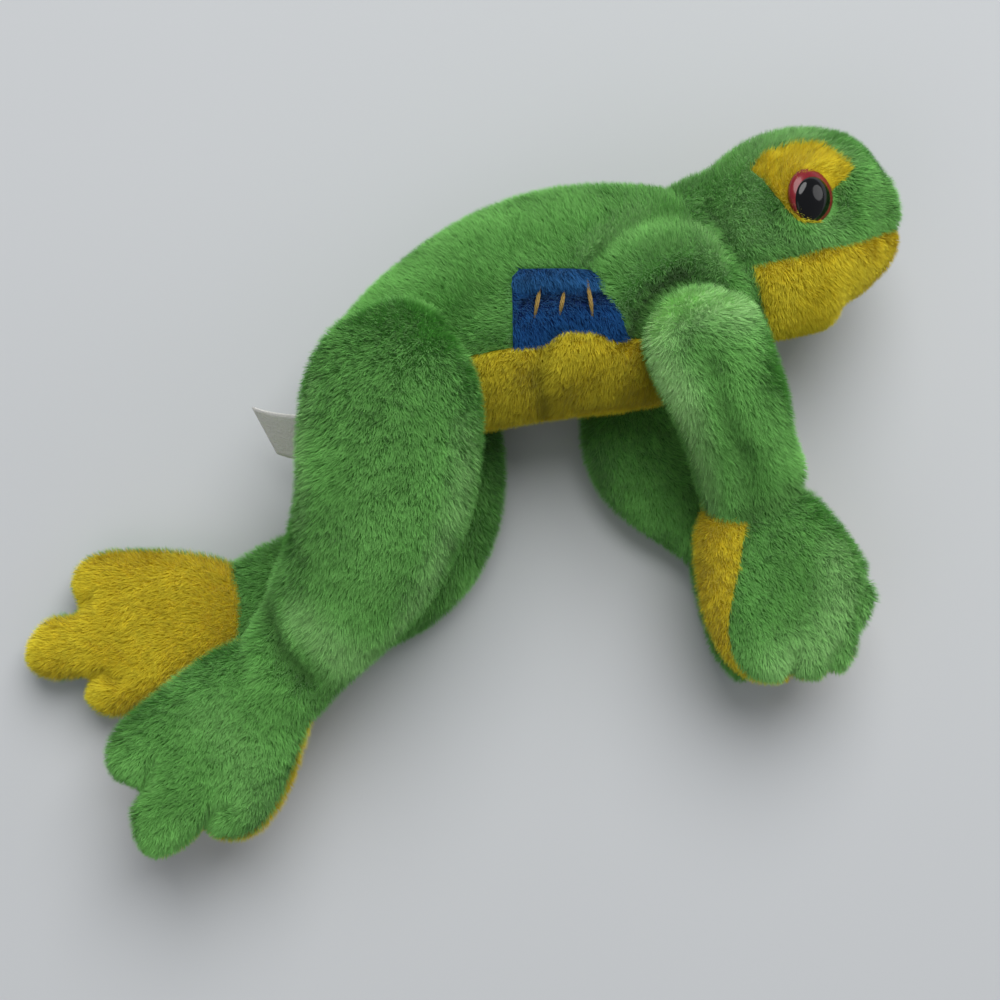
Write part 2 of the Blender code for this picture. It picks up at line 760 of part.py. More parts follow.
def limb(kind, word, joint, shares, sizes, root, ball, side):
    """A limb's skin and stuffing, open at the flat where it is sewn to the torso."""
    name = f"{kind}_{word}"
    root_radius, plane = root
    reach, width, thickness = sizes
    stations = [
        (x * reach, y * reach, z * HALF_DEPTH, wide * width / 2, thick * thickness / 2)
        for x, y, z, wide, thick in shares
    ]
    form = stuffed_form(f"{name}_form", stations, LIMB_COLUMNS, cage_swell(LIMB_COLUMNS))
    core = stuffed_form(f"{name}_core", shrunk(stations), LIMB_COLUMNS)
    floor = FLOOR_CUT - HALF_DEPTH
    room_outline = box_outline(-reach, reach * 2, -reach, reach)
    room = prism(f"{name}_room", room_outline, floor, HALF_DEPTH * 2)
    low, high = sorted((side * (plane + FACE_GAP), -side * HALF_DEPTH))
    root_drum = drum(f"{name}_root", root_radius, low, high, KEYHOLE_POINTS)
    body_side = tool(f"{name}_root", root_drum, joint)
    beyond = box_outline(reach + CREASE_GAP, reach * 2, -reach, reach)
    end = rounded_end(name, joint, beyond, ball, (reach, 0, 0))
    space = tool(f"{name}_space", room, joint, [body_side, end])
    skin(f"{kind}_skin_{word}", form, GREEN, joint, space)
    stuffing(f"{kind}_stuffing_{word}", core, joint, space)


NEAR_LEG_SIZES = (LEG_REACH, LEG_WIDTH, LEG_THICKNESS)
FAR_LEG_SIZES = (FAR_LEG_REACH, LEG_WIDTH, LEG_THICKNESS)
NEAR_ARM_SIZES = (ARM_REACH, ARM_WIDTH, ARM_THICKNESS)
FAR_ARM_SIZES = (FAR_ARM_REACH, ARM_WIDTH, ARM_THICKNESS)
LEG_ROOT = (HIP_SWEEP, HIP_PLANE)
NEAR_ARM_ROOT = (SHOULDER_SWEEP, SHOULDER_PLANE)
FAR_ARM_ROOT = (FAR_SHOULDER_SWEEP, SHOULDER_PLANE)
FAR_RISE = FOOT_THICKNESS / 2 - HALF_DEPTH
NEAR_RISE = FAR_RISE + FOOT_THICKNESS + FACE_GAP
near_ankle_ball = (ANKLE_RADIUS, ANKLE_HALF_WIDTH, NEAR_RISE + NEAR_BALL_LIFT)
far_ankle_ball = (ANKLE_RADIUS, ANKLE_HALF_WIDTH, FAR_RISE)
near_wrist_ball = (WRIST_RADIUS, WRIST_HALF_WIDTH, NEAR_RISE + NEAR_BALL_LIFT)
far_wrist_ball = (WRIST_RADIUS, WRIST_HALF_WIDTH, FAR_RISE)
limb("leg", "near", hip_near, NEAR_LEG_SHARES, NEAR_LEG_SIZES, LEG_ROOT, near_ankle_ball, NEAR)
limb("leg", "far", hip_far, FAR_LEG_SHARES, FAR_LEG_SIZES, LEG_ROOT, far_ankle_ball, FAR)
limb("arm", "near", shoulder_near, NEAR_ARM_SHARES, NEAR_ARM_SIZES, NEAR_ARM_ROOT, near_wrist_ball, NEAR)
limb("arm", "far", shoulder_far, FAR_ARM_SHARES, FAR_ARM_SIZES, FAR_ARM_ROOT, far_wrist_ball, FAR)

# Feet and hands: outlines as shares of length and width, seen from the near side
FOOT_OUTLINE_SHARES = [
    (0.03, -0.29),
    (0.47, -0.51),
    (0.66, -0.60),
    (0.79, -0.57),
    (0.85, -0.44),
    (0.75, -0.31),
    (0.93, -0.24),
    (1.01, -0.08),
    (1.00, 0.05),
    (0.91, 0.13),
    (0.77, 0.16),
    (0.82, 0.27),
    (0.75, 0.39),
    (0.61, 0.42),
    (0.37, 0.37),
    (0.03, 0.28),
]
HAND_OUTLINE_SHARES = [
    (0.04, -0.33),
    (0.22, -0.43),
    (0.44, -0.50),
    (0.67, -0.52),
    (0.85, -0.44),
    (0.94, -0.27),
    (0.84, -0.12),
    (1.00, -0.05),
    (1.02, 0.10),
    (0.96, 0.18),
    (0.86, 0.21),
    (0.94, 0.30),
    (0.88, 0.40),
    (0.74, 0.43),
    (0.75, 0.54),
    (0.62, 0.56),
    (0.38, 0.47),
    (0.07, 0.30),
]
FAR_HAND_OUTLINE_SHARES = [
    (0.04, -0.28),
    (0.44, -0.37),
    (0.68, -0.38),
    (0.84, -0.33),
    (0.89, -0.20),
    (0.78, -0.08),
    (0.93, -0.02),
    (0.96, 0.07),
    (0.92, 0.15),
    (0.80, 0.18),
    (0.90, 0.27),
    (0.84, 0.38),
    (0.68, 0.42),
    (0.44, 0.42),
    (0.04, 0.30),
]
PAD_MIDDLE_SHARES = (0.48, -0.02)
PAD_SHARES = [(0.62, 1.0), (0.90, 0.62), (1.0, 0.0), (0.90, -0.62), (0.62, -1.0)]
CORE_SHARE = 0.60
CORE_PAD_SHARES = [(0.55, 0.88), (1.0, 0.0), (0.55, -0.88)]
HAND_ROLL = math.radians(-30.0)
FAR_HAND_CREASE = math.radians(24.5)


def pillow(name, outline, middle, half_thickness, pad_shares):
    """A closed cushion over an outline, whose rings narrow towards its upper and lower faces."""
    bm = bmesh.new()
    centre = Vector(middle)
    rims = []
    for share, height_share in pad_shares:
        height = half_thickness * height_share
        flat = [centre + (Vector(point) - centre) * share for point in outline]
        rims.append([bm.verts.new((x, y, height)) for x, y in flat])
    for upper, lower in zip(rims, rims[1:]):
        for i in range(len(outline)):
            j = (i + 1) % len(outline)
            bm.faces.new((upper[i], upper[j], lower[j], lower[i]))
    bm.faces.new(rims[0])
    bm.faces.new(rims[-1])
    return finished(bm, name)


def extremity(names, joint, outline_shares, sizes, ball, start, rise, side, roll=0, crease=0):
    """A hand or foot: an outer green skin, an inner yellow skin and the stuffing between them."""
    length, width, thickness = sizes
    outer_name, inner_name, core_name = names
    middle = Vector((PAD_MIDDLE_SHARES[0] * length, PAD_MIDDLE_SHARES[1] * width))
    outline = [(x * length, y * width) for x, y in outline_shares]
    core_outline = [tuple(middle + (Vector(p) - middle) * CORE_SHARE) for p in outline]
    core_half = thickness / 2 - SKIN_WALL - STUFFING_GAP
    form = pillow(f"{outer_name}_form", outline, middle, thickness / 2, PAD_SHARES)
    core = pillow(f"{core_name}_form", core_outline, middle, core_half, CORE_PAD_SHARES)
    level = empty(f"{outer_name}_level", (0, 0, rise), parent=joint)
    floor = FLOOR_CUT - HALF_DEPTH - rise
    far_out = length * 2
    ball_radius, ball_half_width, ball_rise = ball
    ball_mesh = spheroid(
        f"{outer_name}_ball",
        ball_radius + CREASE_GAP,
        ball_half_width + CREASE_GAP,
        ball_rise - rise,
        BALL_SEGMENTS,
    )
    ball_tool = tool(f"{outer_name}_ball", ball_mesh, level)
    front = prism(
        f"{outer_name}_front", box_outline(start, far_out, -far_out, far_out), floor, far_out
    )
    front.transform(Matrix.Rotation(crease, 4, "Z"))
    core_space = tool(f"{core_name}_space", front, level, [ball_tool])
    for name, colour, half in ((outer_name, GREEN, side), (inner_name, YELLOW, -side)):
        low, high = sorted((half * SEAM_GAP / 2, -half * far_out))
        other = prism(
            f"{name}_other", box_outline(-far_out, far_out * 2, -far_out, far_out), low, high
        )
        other.transform(Matrix.Rotation(roll, 4, "X"))
        space = tool(f"{name}_space", front, level, [ball_tool])
        cut(space, tool(f"{name}_other_half", other, level))
        skin(name, form, colour, level, space, rounding=False)
    stuffing(core_name, core, level, core_space)


FOOT_SIZES = (FOOT_LENGTH, FOOT_WIDTH, FOOT_THICKNESS)
HAND_SIZES = (HAND_LENGTH, HAND_WIDTH, HAND_THICKNESS)
extremity(
    ("foot_top_near", "foot_sole_near", "foot_stuffing_near"),
    ankle_near,
    FOOT_OUTLINE_SHARES,
    FOOT_SIZES,
    near_ankle_ball,
    HEEL_START,
    NEAR_RISE,
    NEAR,
)
extremity(
    ("foot_top_far", "foot_sole_far", "foot_stuffing_far"),
    ankle_far,
    FOOT_OUTLINE_SHARES,
    FOOT_SIZES,
    far_ankle_ball,
    HEEL_START,
    FAR_RISE,
    FAR,
)
extremity(
    ("hand_back_near", "palm_near", "hand_stuffing_near"),
    wrist_near,
    HAND_OUTLINE_SHARES,
    HAND_SIZES,
    near_wrist_ball,
    PALM_START,
    NEAR_RISE,
    NEAR,
    roll=HAND_ROLL,
)
extremity(
    ("hand_back_far", "palm_far", "hand_stuffing_far"),
    wrist_far,
    FAR_HAND_OUTLINE_SHARES,
    HAND_SIZES,
    far_wrist_ball,
    PALM_START,
    FAR_RISE,
    FAR,
    roll=HAND_ROLL,
    crease=FAR_HAND_CREASE,
)

# The origin goes under the middle of the whole toy, on the ground that it lies on
bpy.context.view_layer.update()
graph = bpy.context.evaluated_depsgraph_get()
points = []
for made in frog.all_objects:
    if made.type != "EMPTY":
        shown = made.evaluated_get(graph)
        points += [made.matrix_world @ v.co for v in shown.to_mesh().vertices]
        shown.to_mesh_clear()
low = Vector(min(point[axis] for point in points) for axis in range(3))
high = Vector(max(point[axis] for point in points) for axis in range(3))
root.location = (-(low.x + high.x) / 2, -(low.y + high.y) / 2, -low.z)
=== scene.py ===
import json
import math

import bmesh
import bpy
import numpy as np
from mathutils import Matrix, Vector
from mathutils.bvhtree import BVHTree
from mathutils.geometry import delaunay_2d_cdt

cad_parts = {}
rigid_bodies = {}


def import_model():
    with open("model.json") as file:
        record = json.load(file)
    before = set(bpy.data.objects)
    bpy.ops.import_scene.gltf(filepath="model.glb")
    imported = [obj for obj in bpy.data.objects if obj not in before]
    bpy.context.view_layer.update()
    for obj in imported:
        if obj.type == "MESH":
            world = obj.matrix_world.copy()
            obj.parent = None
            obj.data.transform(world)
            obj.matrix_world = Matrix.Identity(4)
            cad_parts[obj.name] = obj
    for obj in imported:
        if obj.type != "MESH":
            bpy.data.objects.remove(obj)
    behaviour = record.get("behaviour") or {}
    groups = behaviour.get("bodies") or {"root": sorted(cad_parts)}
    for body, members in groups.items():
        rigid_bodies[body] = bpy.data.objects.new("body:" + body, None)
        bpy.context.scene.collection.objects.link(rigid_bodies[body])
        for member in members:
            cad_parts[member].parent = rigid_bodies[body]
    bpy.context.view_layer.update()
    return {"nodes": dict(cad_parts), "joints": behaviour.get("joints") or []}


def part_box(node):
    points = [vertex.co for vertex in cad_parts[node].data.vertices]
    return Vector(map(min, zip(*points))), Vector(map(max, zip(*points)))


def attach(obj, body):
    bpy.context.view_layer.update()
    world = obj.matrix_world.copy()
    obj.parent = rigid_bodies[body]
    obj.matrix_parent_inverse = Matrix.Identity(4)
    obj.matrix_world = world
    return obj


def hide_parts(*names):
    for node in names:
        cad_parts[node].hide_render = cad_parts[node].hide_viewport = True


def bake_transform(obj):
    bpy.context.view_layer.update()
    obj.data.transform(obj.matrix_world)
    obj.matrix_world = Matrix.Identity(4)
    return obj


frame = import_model()
joint_places = {joint["name"]: Vector(joint["pos_m"]) for joint in frame["joints"]}


# Camera: it looks straight down on the lying toy, as the photograph does. The picture is 1000 pixels
# wide, and seen() gives the place at which one of its pixels meets a given height above the floor.
CAMERA_FROM_NECK = Vector((-0.05835, -0.05910, 0.4865))
CAMERA_PLACE = joint_places["neck_bend"] + CAMERA_FROM_NECK
FOCAL_PIXELS = 1960
PICTURE_PIXELS = 1000
SENSOR_WIDTH = 36
camera = bpy.data.objects.new("camera", bpy.data.cameras.new("camera"))
camera.data.sensor_width = SENSOR_WIDTH
camera.data.lens = FOCAL_PIXELS / PICTURE_PIXELS * SENSOR_WIDTH
camera.data.clip_start = 0.01
camera.location = CAMERA_PLACE
bpy.context.scene.collection.objects.link(camera)
bpy.context.scene.camera = camera


def seen(pixels, height):
    """The places, in x and y, of pixels of the picture at a height above the floor."""
    scale = (CAMERA_PLACE.z - height) / FOCAL_PIXELS
    half = PICTURE_PIXELS / 2
    return [
        (CAMERA_PLACE.x + (x - half) * scale, CAMERA_PLACE.y + (half - y) * scale) for x, y in pixels
    ]


# Torso: a sewn tube of plush round a fibre filling, green on the back, yellow on the belly and blue
# on the flanks. Each panel is cloth of its real thickness, parted from the next at a sewn seam.
CLOTH_THICKNESS = 0.0012
PILE_DEPTH = 0.0016
CLOTH_GRAIN = 0.0013
SMOOTHING_ROUNDS = 6
RING_POINTS = 40
STATION_STEPS = 6
END_TURNS = np.radians((25, 50, 70, 84))
END_REACH_SHARE = 0.7
UPPER_FADE = 0.006
CUT_TOLERANCE = 1e-7
BLOCK_LOW = -0.01
BLOCK_HIGH = 0.08
SIDES = ((1, "near"), (-1, "far"))
BODY_LENGTH = 0.114
BODY_HEIGHT = 0.059
BODY_WIDTH = 0.052
HALF_DEPTH = 0.032
NECK_PLACE_SHARES = (0.389, 0.093)
BODY_STATION_SHARES = [
    (-0.50, -0.26, 0, 0.20, 0.23),
    (-0.43, -0.18, 0, 0.54, 0.52),
    (-0.25, -0.09, 0, 0.84, 0.75),
    (-0.02, 0.012, 0, 1.00, 1.02),
    (0.21, 0.014, 0, 0.96, 0.84),
    (0.38, 0.020, 0, 0.74, 0.60),
    (0.46, 0.03, 0, 0.42, 0.38),
]
BELLY_SEAM_SHARES = [
    (-0.62, -0.44), (-0.46, -0.27), (-0.34, -0.18), (-0.175, -0.12), (-0.095, -0.106),
    (-0.030, -0.098), (0.010, -0.070), (0.070, -0.070), (0.123, -0.092), (0.151, -0.086),
    (0.32, -0.085), (0.60, -0.06), (0.60, -0.60), (-0.62, -0.60),
]
PATCH_SHARES = [
    (-0.095, -0.15), (-0.098, 0.038), (-0.082, 0.055), (0.062, 0.055), (0.087, 0.038),
    (0.151, -0.086), (0.170, -0.15),
]
neck_place = joint_places["neck_bend"]
MIDDLE_HEIGHT = neck_place.z
torso_place = neck_place - Vector((*NECK_PLACE_SHARES, 0)) * BODY_LENGTH


def placed(origin, turn):
    """The matrix of a body part at a joint, turned about the side-to-side axis."""
    return Matrix.Translation(origin) @ Matrix.Rotation(turn, 4, "Z")


def smooth_line(points, steps):
    """A uniform cubic spline that starts and ends at its first and last point."""
    held = np.array(points, float)
    held = np.vstack([2 * held[0] - held[1], held, 2 * held[-1] - held[-2]])
    line = []
    for i in range(len(held) - 3):
        a, b, c, d = held[i : i + 4]
        for t in np.arange(steps) / steps:
            line.append(
                ((1 - t) ** 3 * a + (3 * t**3 - 6 * t**2 + 4) * b) / 6
                + ((-3 * t**3 + 3 * t**2 + 3 * t + 1) * c + t**3 * d) / 6
            )
    line.append((held[-3] + 4 * held[-2] + held[-1]) / 6)
    return np.array(line)


def meshed(bm, name):
    """The mesh of a finished shape."""
    mesh = bpy.data.meshes.new(name)
    bm.to_mesh(mesh)
    bm.free()
    return mesh


def stuffed_form(shares, length, width, thickness, matrix):
    """A closed tube with round ends. A row is its x, y and z, then its width and its thickness."""
    stations = [
        (x * length, y * length, z * HALF_DEPTH, wide * width / 2, thick * thickness / 2)
        for x, y, z, wide, thick in shares
    ]
    line = smooth_line(stations, STATION_STEPS)
    line[:, 3:] -= PILE_DEPTH
    ends = []
    for i, outward in ((0, -1), (-1, 1)):
        along = line[i, :3] - line[i - outward, :3]
        along /= np.linalg.norm(along)
        rings = []
        for turn in END_TURNS:
            row = line[i].copy()
            row[:3] += along * line[i, 3:].min() * END_REACH_SHARE * math.sin(turn)
            row[3:] *= math.cos(turn)
            rings.append(row)
        ends.append(rings)
    line = np.vstack([*ends[0][::-1], line, *ends[1]])
    ahead = np.gradient(line[:, :2], axis=0)
    ahead /= np.linalg.norm(ahead, axis=1)[:, None]
    across = np.stack([-ahead[:, 1], ahead[:, 0], np.zeros(len(line))], 1)
    turns = np.linspace(0, math.tau, RING_POINTS, endpoint=False)
    bm = bmesh.new()
    rings = []
    for row, side in zip(line, across):
        ring = []
        for turn in turns:
            point = row[:3] + side * row[3] * math.cos(turn)
            point = point + np.array((0, 0, row[4] * math.sin(turn)))
            ring.append(bm.verts.new(matrix @ Vector(point)))
        rings.append(ring)
    for low, high in zip(rings, rings[1:]):
        for i in range(RING_POINTS):
            j = (i + 1) % RING_POINTS
            bm.faces.new((low[i], low[j], high[j], high[i]))
    bm.faces.new(rings[0])
    bm.faces.new(rings[-1])
    bmesh.ops.recalc_face_normals(bm, faces=bm.faces)
    return meshed(bm, "form")


def held_object(name, mesh):
    """An object of its own for a mesh or a light, at the origin."""
    made = bpy.data.objects.new(name, mesh)
    bpy.context.scene.collection.objects.link(made)
    return made


def baked(made):
    """Puts the result of the object's modifiers into its mesh."""
    graph = bpy.context.evaluated_depsgraph_get()
    mesh = bpy.data.meshes.new_from_object(made.evaluated_get(graph))
    made.modifiers.clear()
    made.data = mesh
    return made


def points_of(mesh, kind="co"):
    """The places of a mesh's points, or their normals, one to a row."""
    found = np.empty(len(mesh.vertices) * 3, np.float32)
    mesh.vertices.foreach_get(kind, found)
    return found.reshape(-1, 3).astype(float)


def move_points(mesh, points):
    """Puts a mesh's points at new places."""
    mesh.vertices.foreach_set("co", points.astype(np.float32).ravel())
    mesh.update()


def sewn(name, form, rounds=SMOOTHING_ROUNDS):
    """A form made into one smooth closed surface, as a filled body part has."""
    form.name = name
    made = held_object(name, form)
    grain = made.modifiers.new("grain", "REMESH")
    grain.mode = "VOXEL"
    grain.voxel_size = CLOTH_GRAIN
    soft = made.modifiers.new("soft", "SMOOTH")
    soft.iterations = rounds
    return baked(made)


def line_distance(points, line, closed=False):
    """How far points are from a line of x and y points."""
    line = np.array(line, float)
    if closed:
        line = np.vstack([line, line[:1]])
    nearest = np.full(len(points), np.inf)
    for start, end in zip(line, line[1:]):
        run = end - start
        share = ((points[:, :2] - start) @ run / (run @ run)).clip(0, 1)
        gap = points[:, :2] - start - share[:, None] * run
        nearest = np.minimum(nearest, np.linalg.norm(gap, axis=1))
    return nearest


def press(made, line, depth, width, upper=False):
    """Presses a soft groove into a surface along a line, all round or on the upper side alone."""
    points = points_of(made.data)
    amount = depth * np.exp(-((line_distance(points, line) / width) ** 2))
    if upper:
        amount *= ((points[:, 2] - MIDDLE_HEIGHT) / UPPER_FADE).clip(0, 1)
    move_points(made.data, points - points_of(made.data, "normal") * amount[:, None])


def press_folds(made, folds, height):
    """Presses in folds of the upper side. A fold is its pixels, its depth and its width."""
    for pixels, depth, width in folds:
        press(made, seen(pixels, height), depth, width, upper=True)


def swell(made, centre, radius, amount):
    """Raises a soft round bulge on a surface."""
    points = points_of(made.data)
    gap = np.linalg.norm(points - np.array(centre), axis=1)
    lift = amount * np.exp(-((gap / radius) ** 2))
    move_points(made.data, points + points_of(made.data, "normal") * lift[:, None])


def prism(outline, low, high):
    """A closed block over an outline, between two heights. It parts the panels at their seams."""
    bm = bmesh.new()
    base = bm.faces.new([bm.verts.new((x, y, low)) for x, y in outline])
    pulled = bmesh.ops.extrude_face_region(bm, geom=[base])["geom"]
    top = [v for v in pulled if isinstance(v, bmesh.types.BMVert)]
    bmesh.ops.translate(bm, verts=top, vec=(0, 0, high - low))
    bmesh.ops.recalc_face_normals(bm, faces=bm.faces)
    mesh = meshed(bm, "seam")
    mesh.materials.append(seam_mark)
    made = held_object("seam", mesh)
    made.hide_render = True
    return made


def side_blocks(outline):
    """A block over the near half of the toy, as 1, and one over the far half, as -1."""
    return {
        1: prism(outline, MIDDLE_HEIGHT, BLOCK_HIGH),
        -1: prism(outline, BLOCK_LOW, MIDDLE_HEIGHT),
    }


def twist(bm, matrix, roll, fade):
    """Turns points about a hand's or foot's length, most where it is sewn on."""
    inside = matrix.inverted()
    for vert in bm.verts:
        local = inside @ vert.co
        turn = roll * math.exp(-max(local.x, 0) / fade)
        vert.co = matrix @ (Matrix.Rotation(turn, 3, "X") @ local)


def coat(mesh, material):
    """Gives a mesh one material in place of those that it has."""
    mesh.materials.clear()
    mesh.materials.append(material)


seam_mark = bpy.data.materials.new("seam mark")
plush_parts = []


def panel(name, whole, solid, colour, cuts=(), seam=None, bodies=("torso",), bloom=(), **pile):
    """One cloth panel of a stuffed body part, and the facts of the pile that grows on it."""
    made = held_object(name, whole.data.copy())
    coat(made.data, colour)
    for operation, tool in cuts:
        cut = made.modifiers.new("seam", "BOOLEAN")
        cut.operation = operation
        cut.object = tool
        cut.solver = "EXACT"
        cut.material_mode = "TRANSFER"
    baked(made)
    if cuts:
        bm = bmesh.new()
        bm.from_mesh(made.data)
        inner = made.data.materials.find(seam_mark.name)
        gone = [face for face in bm.faces if face.material_index == inner]
        bmesh.ops.delete(bm, geom=gone, context="FACES")
        bm.to_mesh(made.data)
        bm.free()
        coat(made.data, colour)
    if seam:
        matrix, roll, fade, kept_side = seam
        bm = bmesh.new()
        bm.from_mesh(made.data)
        twist(bm, matrix, -roll, fade)
        bmesh.ops.bisect_plane(
            bm,
            geom=[*bm.verts, *bm.edges, *bm.faces],
            dist=CUT_TOLERANCE,
            plane_co=matrix.translation,
            plane_no=matrix.col[2].xyz,
            clear_inner=kept_side == 1,
            clear_outer=kept_side == -1,
        )
        twist(bm, matrix, roll, fade)
        bm.to_mesh(made.data)
        bm.free()
    made.data.shade_smooth()
    slot = colour.name.replace(" ", "_")
    facts = {"cloth": made, "whole": whole, "solid": solid, "slot": slot, "bodies": bodies}
    # The strokes kept here are painted light: painted sheen and painted shade on the pile's colour.
    plush_parts.append({**facts, "bloom": bloom, **pile})


# Plush colours: a pile is painted darkest in its depth, as painted shade among its fibres, and palest at
# its tips, and brushing leaves soft patches. One tint serves the fibres and the cloth under them, and
# each plush has its own colours.
BRUSHING_SCALE = 95
BRUSHED_RANGE = (0.35, 0.68)
PALE_RANGE = (0.62, 1)
TONE_RANGE = (0.80, 1.18)
PAINTED_SHADE_RANGE = (-1, 0)
FULL_RANGE = (0, 1)
DYE_CURVE = 0.85
SHEEN_CURVE = 0.4


def node(tree, kind, sources, **settings):
    """A node with its settings, whose inputs are values or other nodes' outputs."""
    made = tree.nodes.new(kind)
    for name, value in settings.items():
        setattr(made, name, value)
    for name, source in sources.items():
        if isinstance(source, bpy.types.NodeSocket):
            tree.links.new(source, made.inputs[name])
        else:
            made.inputs[name].default_value = source
    return made


def ranged(tree, value, source, result):
    """A value moved from one range to another, and held at its ends."""
    sockets = {"Value": value, 1: source[0], 2: source[1], 3: result[0], 4: result[1]}
    return node(tree, "ShaderNodeMapRange", sockets).outputs["Result"]


def add_inputs(tree, names_by_kind):
    """Gives a node group its named inputs."""
    for kind, names in names_by_kind.items():
        for name in names:
            tree.interface.new_socket(name, in_out="INPUT", socket_type=f"NodeSocket{kind}")


def new_material(name):
    """A material, its tree and its shader."""
    made = bpy.data.materials.new(name)
    made.use_nodes = True
    return made, made.node_tree, made.node_tree.nodes["Principled BSDF"]


tint = bpy.data.node_groups.new("pile tint", "ShaderNodeTree")
add_inputs(tint, {"Color": ("Deep", "Tip", "Pale"), "Float": ("Along", "Tone", "Bloom")})
tint.interface.new_socket("Colour", in_out="OUTPUT", socket_type="NodeSocketColor")
dyes = tint.nodes.new("NodeGroupInput").outputs
coloured = tint.nodes.new("NodeGroupOutput").inputs
tint_place = node(tint, "ShaderNodeTexCoord", {}).outputs["Object"]
brushing = node(
    tint,
    "ShaderNodeTexNoise",
    {"Vector": tint_place, "Scale": BRUSHING_SCALE, "Detail": 3, "Roughness": 0.6},
)
brushed = ranged(tint, brushing.outputs["Fac"], BRUSHED_RANGE, FULL_RANGE)
pale = ranged(tint, brushed, FULL_RANGE, PALE_RANGE)
reach = node(tint, "ShaderNodeMath", {0: dyes["Along"], 1: DYE_CURVE}, operation="POWER").outputs[0]
reach = node(tint, "ShaderNodeMath", {0: reach, 1: pale}, operation="MULTIPLY").outputs[0]
# Input 0 of a mix is its share, inputs 6 and 7 are its two colours, and output 2 is the mixed one
dyed = node(
    tint, "ShaderNodeMix", {0: reach, 6: dyes["Deep"], 7: dyes["Tip"]}, data_type="RGBA"
).outputs[2]
# Painted light: above 0 it mixes in the pale painted sheen, below 0 it darkens the colour as painted
# shade.
with_painted_sheen = node(
    tint, "ShaderNodeMix", {0: dyes["Bloom"], 6: dyed, 7: dyes["Pale"]}, data_type="RGBA"
).outputs[2]
shade = ranged(tint, dyes["Tone"], FULL_RANGE, TONE_RANGE)
painted_shade = ranged(tint, dyes["Bloom"], PAINTED_SHADE_RANGE, FULL_RANGE)
shaded = node(tint, "ShaderNodeMath", {0: shade, 1: painted_shade}, operation="MULTIPLY").outputs[0]
toned = node(tint, "ShaderNodeVectorMath", {0: with_painted_sheen, 1: shaded}, operation="MULTIPLY")
tint.links.new(toned.outputs[0], coloured["Colour"])


def plush(name, deep, tip, painted_sheen_colour):
    """A pile's material, from its painted shade in the depth, its colour at the tips, and its painted
    sheen.
    """
    made, tree, shader = new_material(name)
    dye = node(
        tree,
        "ShaderNodeGroup",
        {"Deep": (*deep, 1), "Tip": (*tip, 1), "Pale": (*painted_sheen_colour, 1)},
        node_tree=tint,
    )
    for socket in ("Along", "Tone", "Bloom"):
        mark = node(tree, "ShaderNodeAttribute", {}, attribute_name=socket.lower())
        tree.links.new(mark.outputs["Fac"], dye.inputs[socket])
    tree.links.new(dye.outputs["Colour"], shader.inputs["Base Color"])
    shader.inputs["Roughness"].default_value = 0.75
    shader.inputs["Specular IOR Level"].default_value = 0.12
    shader.inputs["Sheen Weight"].default_value = 0.5
    shader.inputs["Sheen Roughness"].default_value = 0.4
    shader.inputs["Sheen Tint"].default_value = (*(share**SHEEN_CURVE for share in tip), 1)
    return made


green_plush = plush("green plush", (0.105, 0.34, 0.060), (0.32, 0.76, 0.20), (0.60, 0.94, 0.42))
yellow_plush = plush("yellow plush", (0.72, 0.55, 0.016), (0.98, 0.88, 0.07), (1.0, 0.94, 0.24))
blue_plush = plush("blue plush", (0.006, 0.036, 0.17), (0.03, 0.18, 0.50), (0.09, 0.34, 0.66))

# The torso's surface, with the folds of the photograph pressed in, and its four panels. A stroke of
# painted light is its pixels, its width, and how much paler it is painted, as painted sheen where the
# brushed nap catches the light. Below 0 it is painted darker, as painted shade.
torso = sewn(
    "torso",
    stuffed_form(BODY_STATION_SHARES, BODY_LENGTH, BODY_HEIGHT, BODY_WIDTH, placed(torso_place, 0)),
)


def laid_out(shares, place=torso_place, length=BODY_LENGTH):
    """The places, in x and y, of shares of a length from a place."""
    return [(place.x + x * length, place.y + y * length) for x, y in shares]


SHOULDER_FOLD_PIXELS = [(592, 266), (602, 254), (622, 230), (644, 218), (669, 211), (711, 212)]
ARM_FOLD_PIXELS = [(636, 332), (645, 311), (660, 293), (680, 281), (704, 276), (730, 287), (750, 305)]
NECK_FOLD_PIXELS = [(709, 196), (716, 212), (730, 242), (746, 264), (757, 283), (765, 308)]
BELLY_FOLD_PIXELS = [(549, 338), (541, 372), (548, 410)]
FLANK_HEIGHT = 0.052
SHOULDER_PIXEL = (690, 246)
SHOULDER_BULGE = 0.0030
SHOULDER_LEVEL = 0.049
SHOULDER_RADIUS = 0.018
TORSO_FOLDS = [
    (SHOULDER_FOLD_PIXELS, 0.0026, 0.0034),
    (NECK_FOLD_PIXELS, 0.0026, 0.0026),
    (ARM_FOLD_PIXELS, 0.0040, 0.0036),
    (BELLY_FOLD_PIXELS, 0.0014, 0.0030),
]
PRESSED_SEAM_POINTS = 12
BELLY_SEAM_DEPTH = 0.0010
BELLY_SEAM_WIDTH = 0.0020
GATHER_SHARES = [(-0.070, 0.010), (0.0, 0.012), (0.085, 0.018)]
PUFF_SHARES = [(-0.080, 0.036), (0.0, 0.038), (0.070, 0.040)]
GATHER_DEPTH = 0.0030
PUFF_RISE = 0.0012
GATHER_WIDTH = 0.0026
shoulder = seen([SHOULDER_PIXEL], FLANK_HEIGHT)[0]
swell(torso, (*shoulder, SHOULDER_LEVEL), SHOULDER_RADIUS, SHOULDER_BULGE)
press_folds(torso, TORSO_FOLDS, FLANK_HEIGHT)
belly_line = laid_out(BELLY_SEAM_SHARES)
press(torso, belly_line[:PRESSED_SEAM_POINTS], BELLY_SEAM_DEPTH, BELLY_SEAM_WIDTH)
press(torso, laid_out(GATHER_SHARES), GATHER_DEPTH, GATHER_WIDTH)
press(torso, laid_out(PUFF_SHARES), -PUFF_RISE, GATHER_WIDTH)
belly_block = prism(belly_line, BLOCK_LOW, BLOCK_HIGH)
patch_blocks = side_blocks(laid_out(PATCH_SHARES))
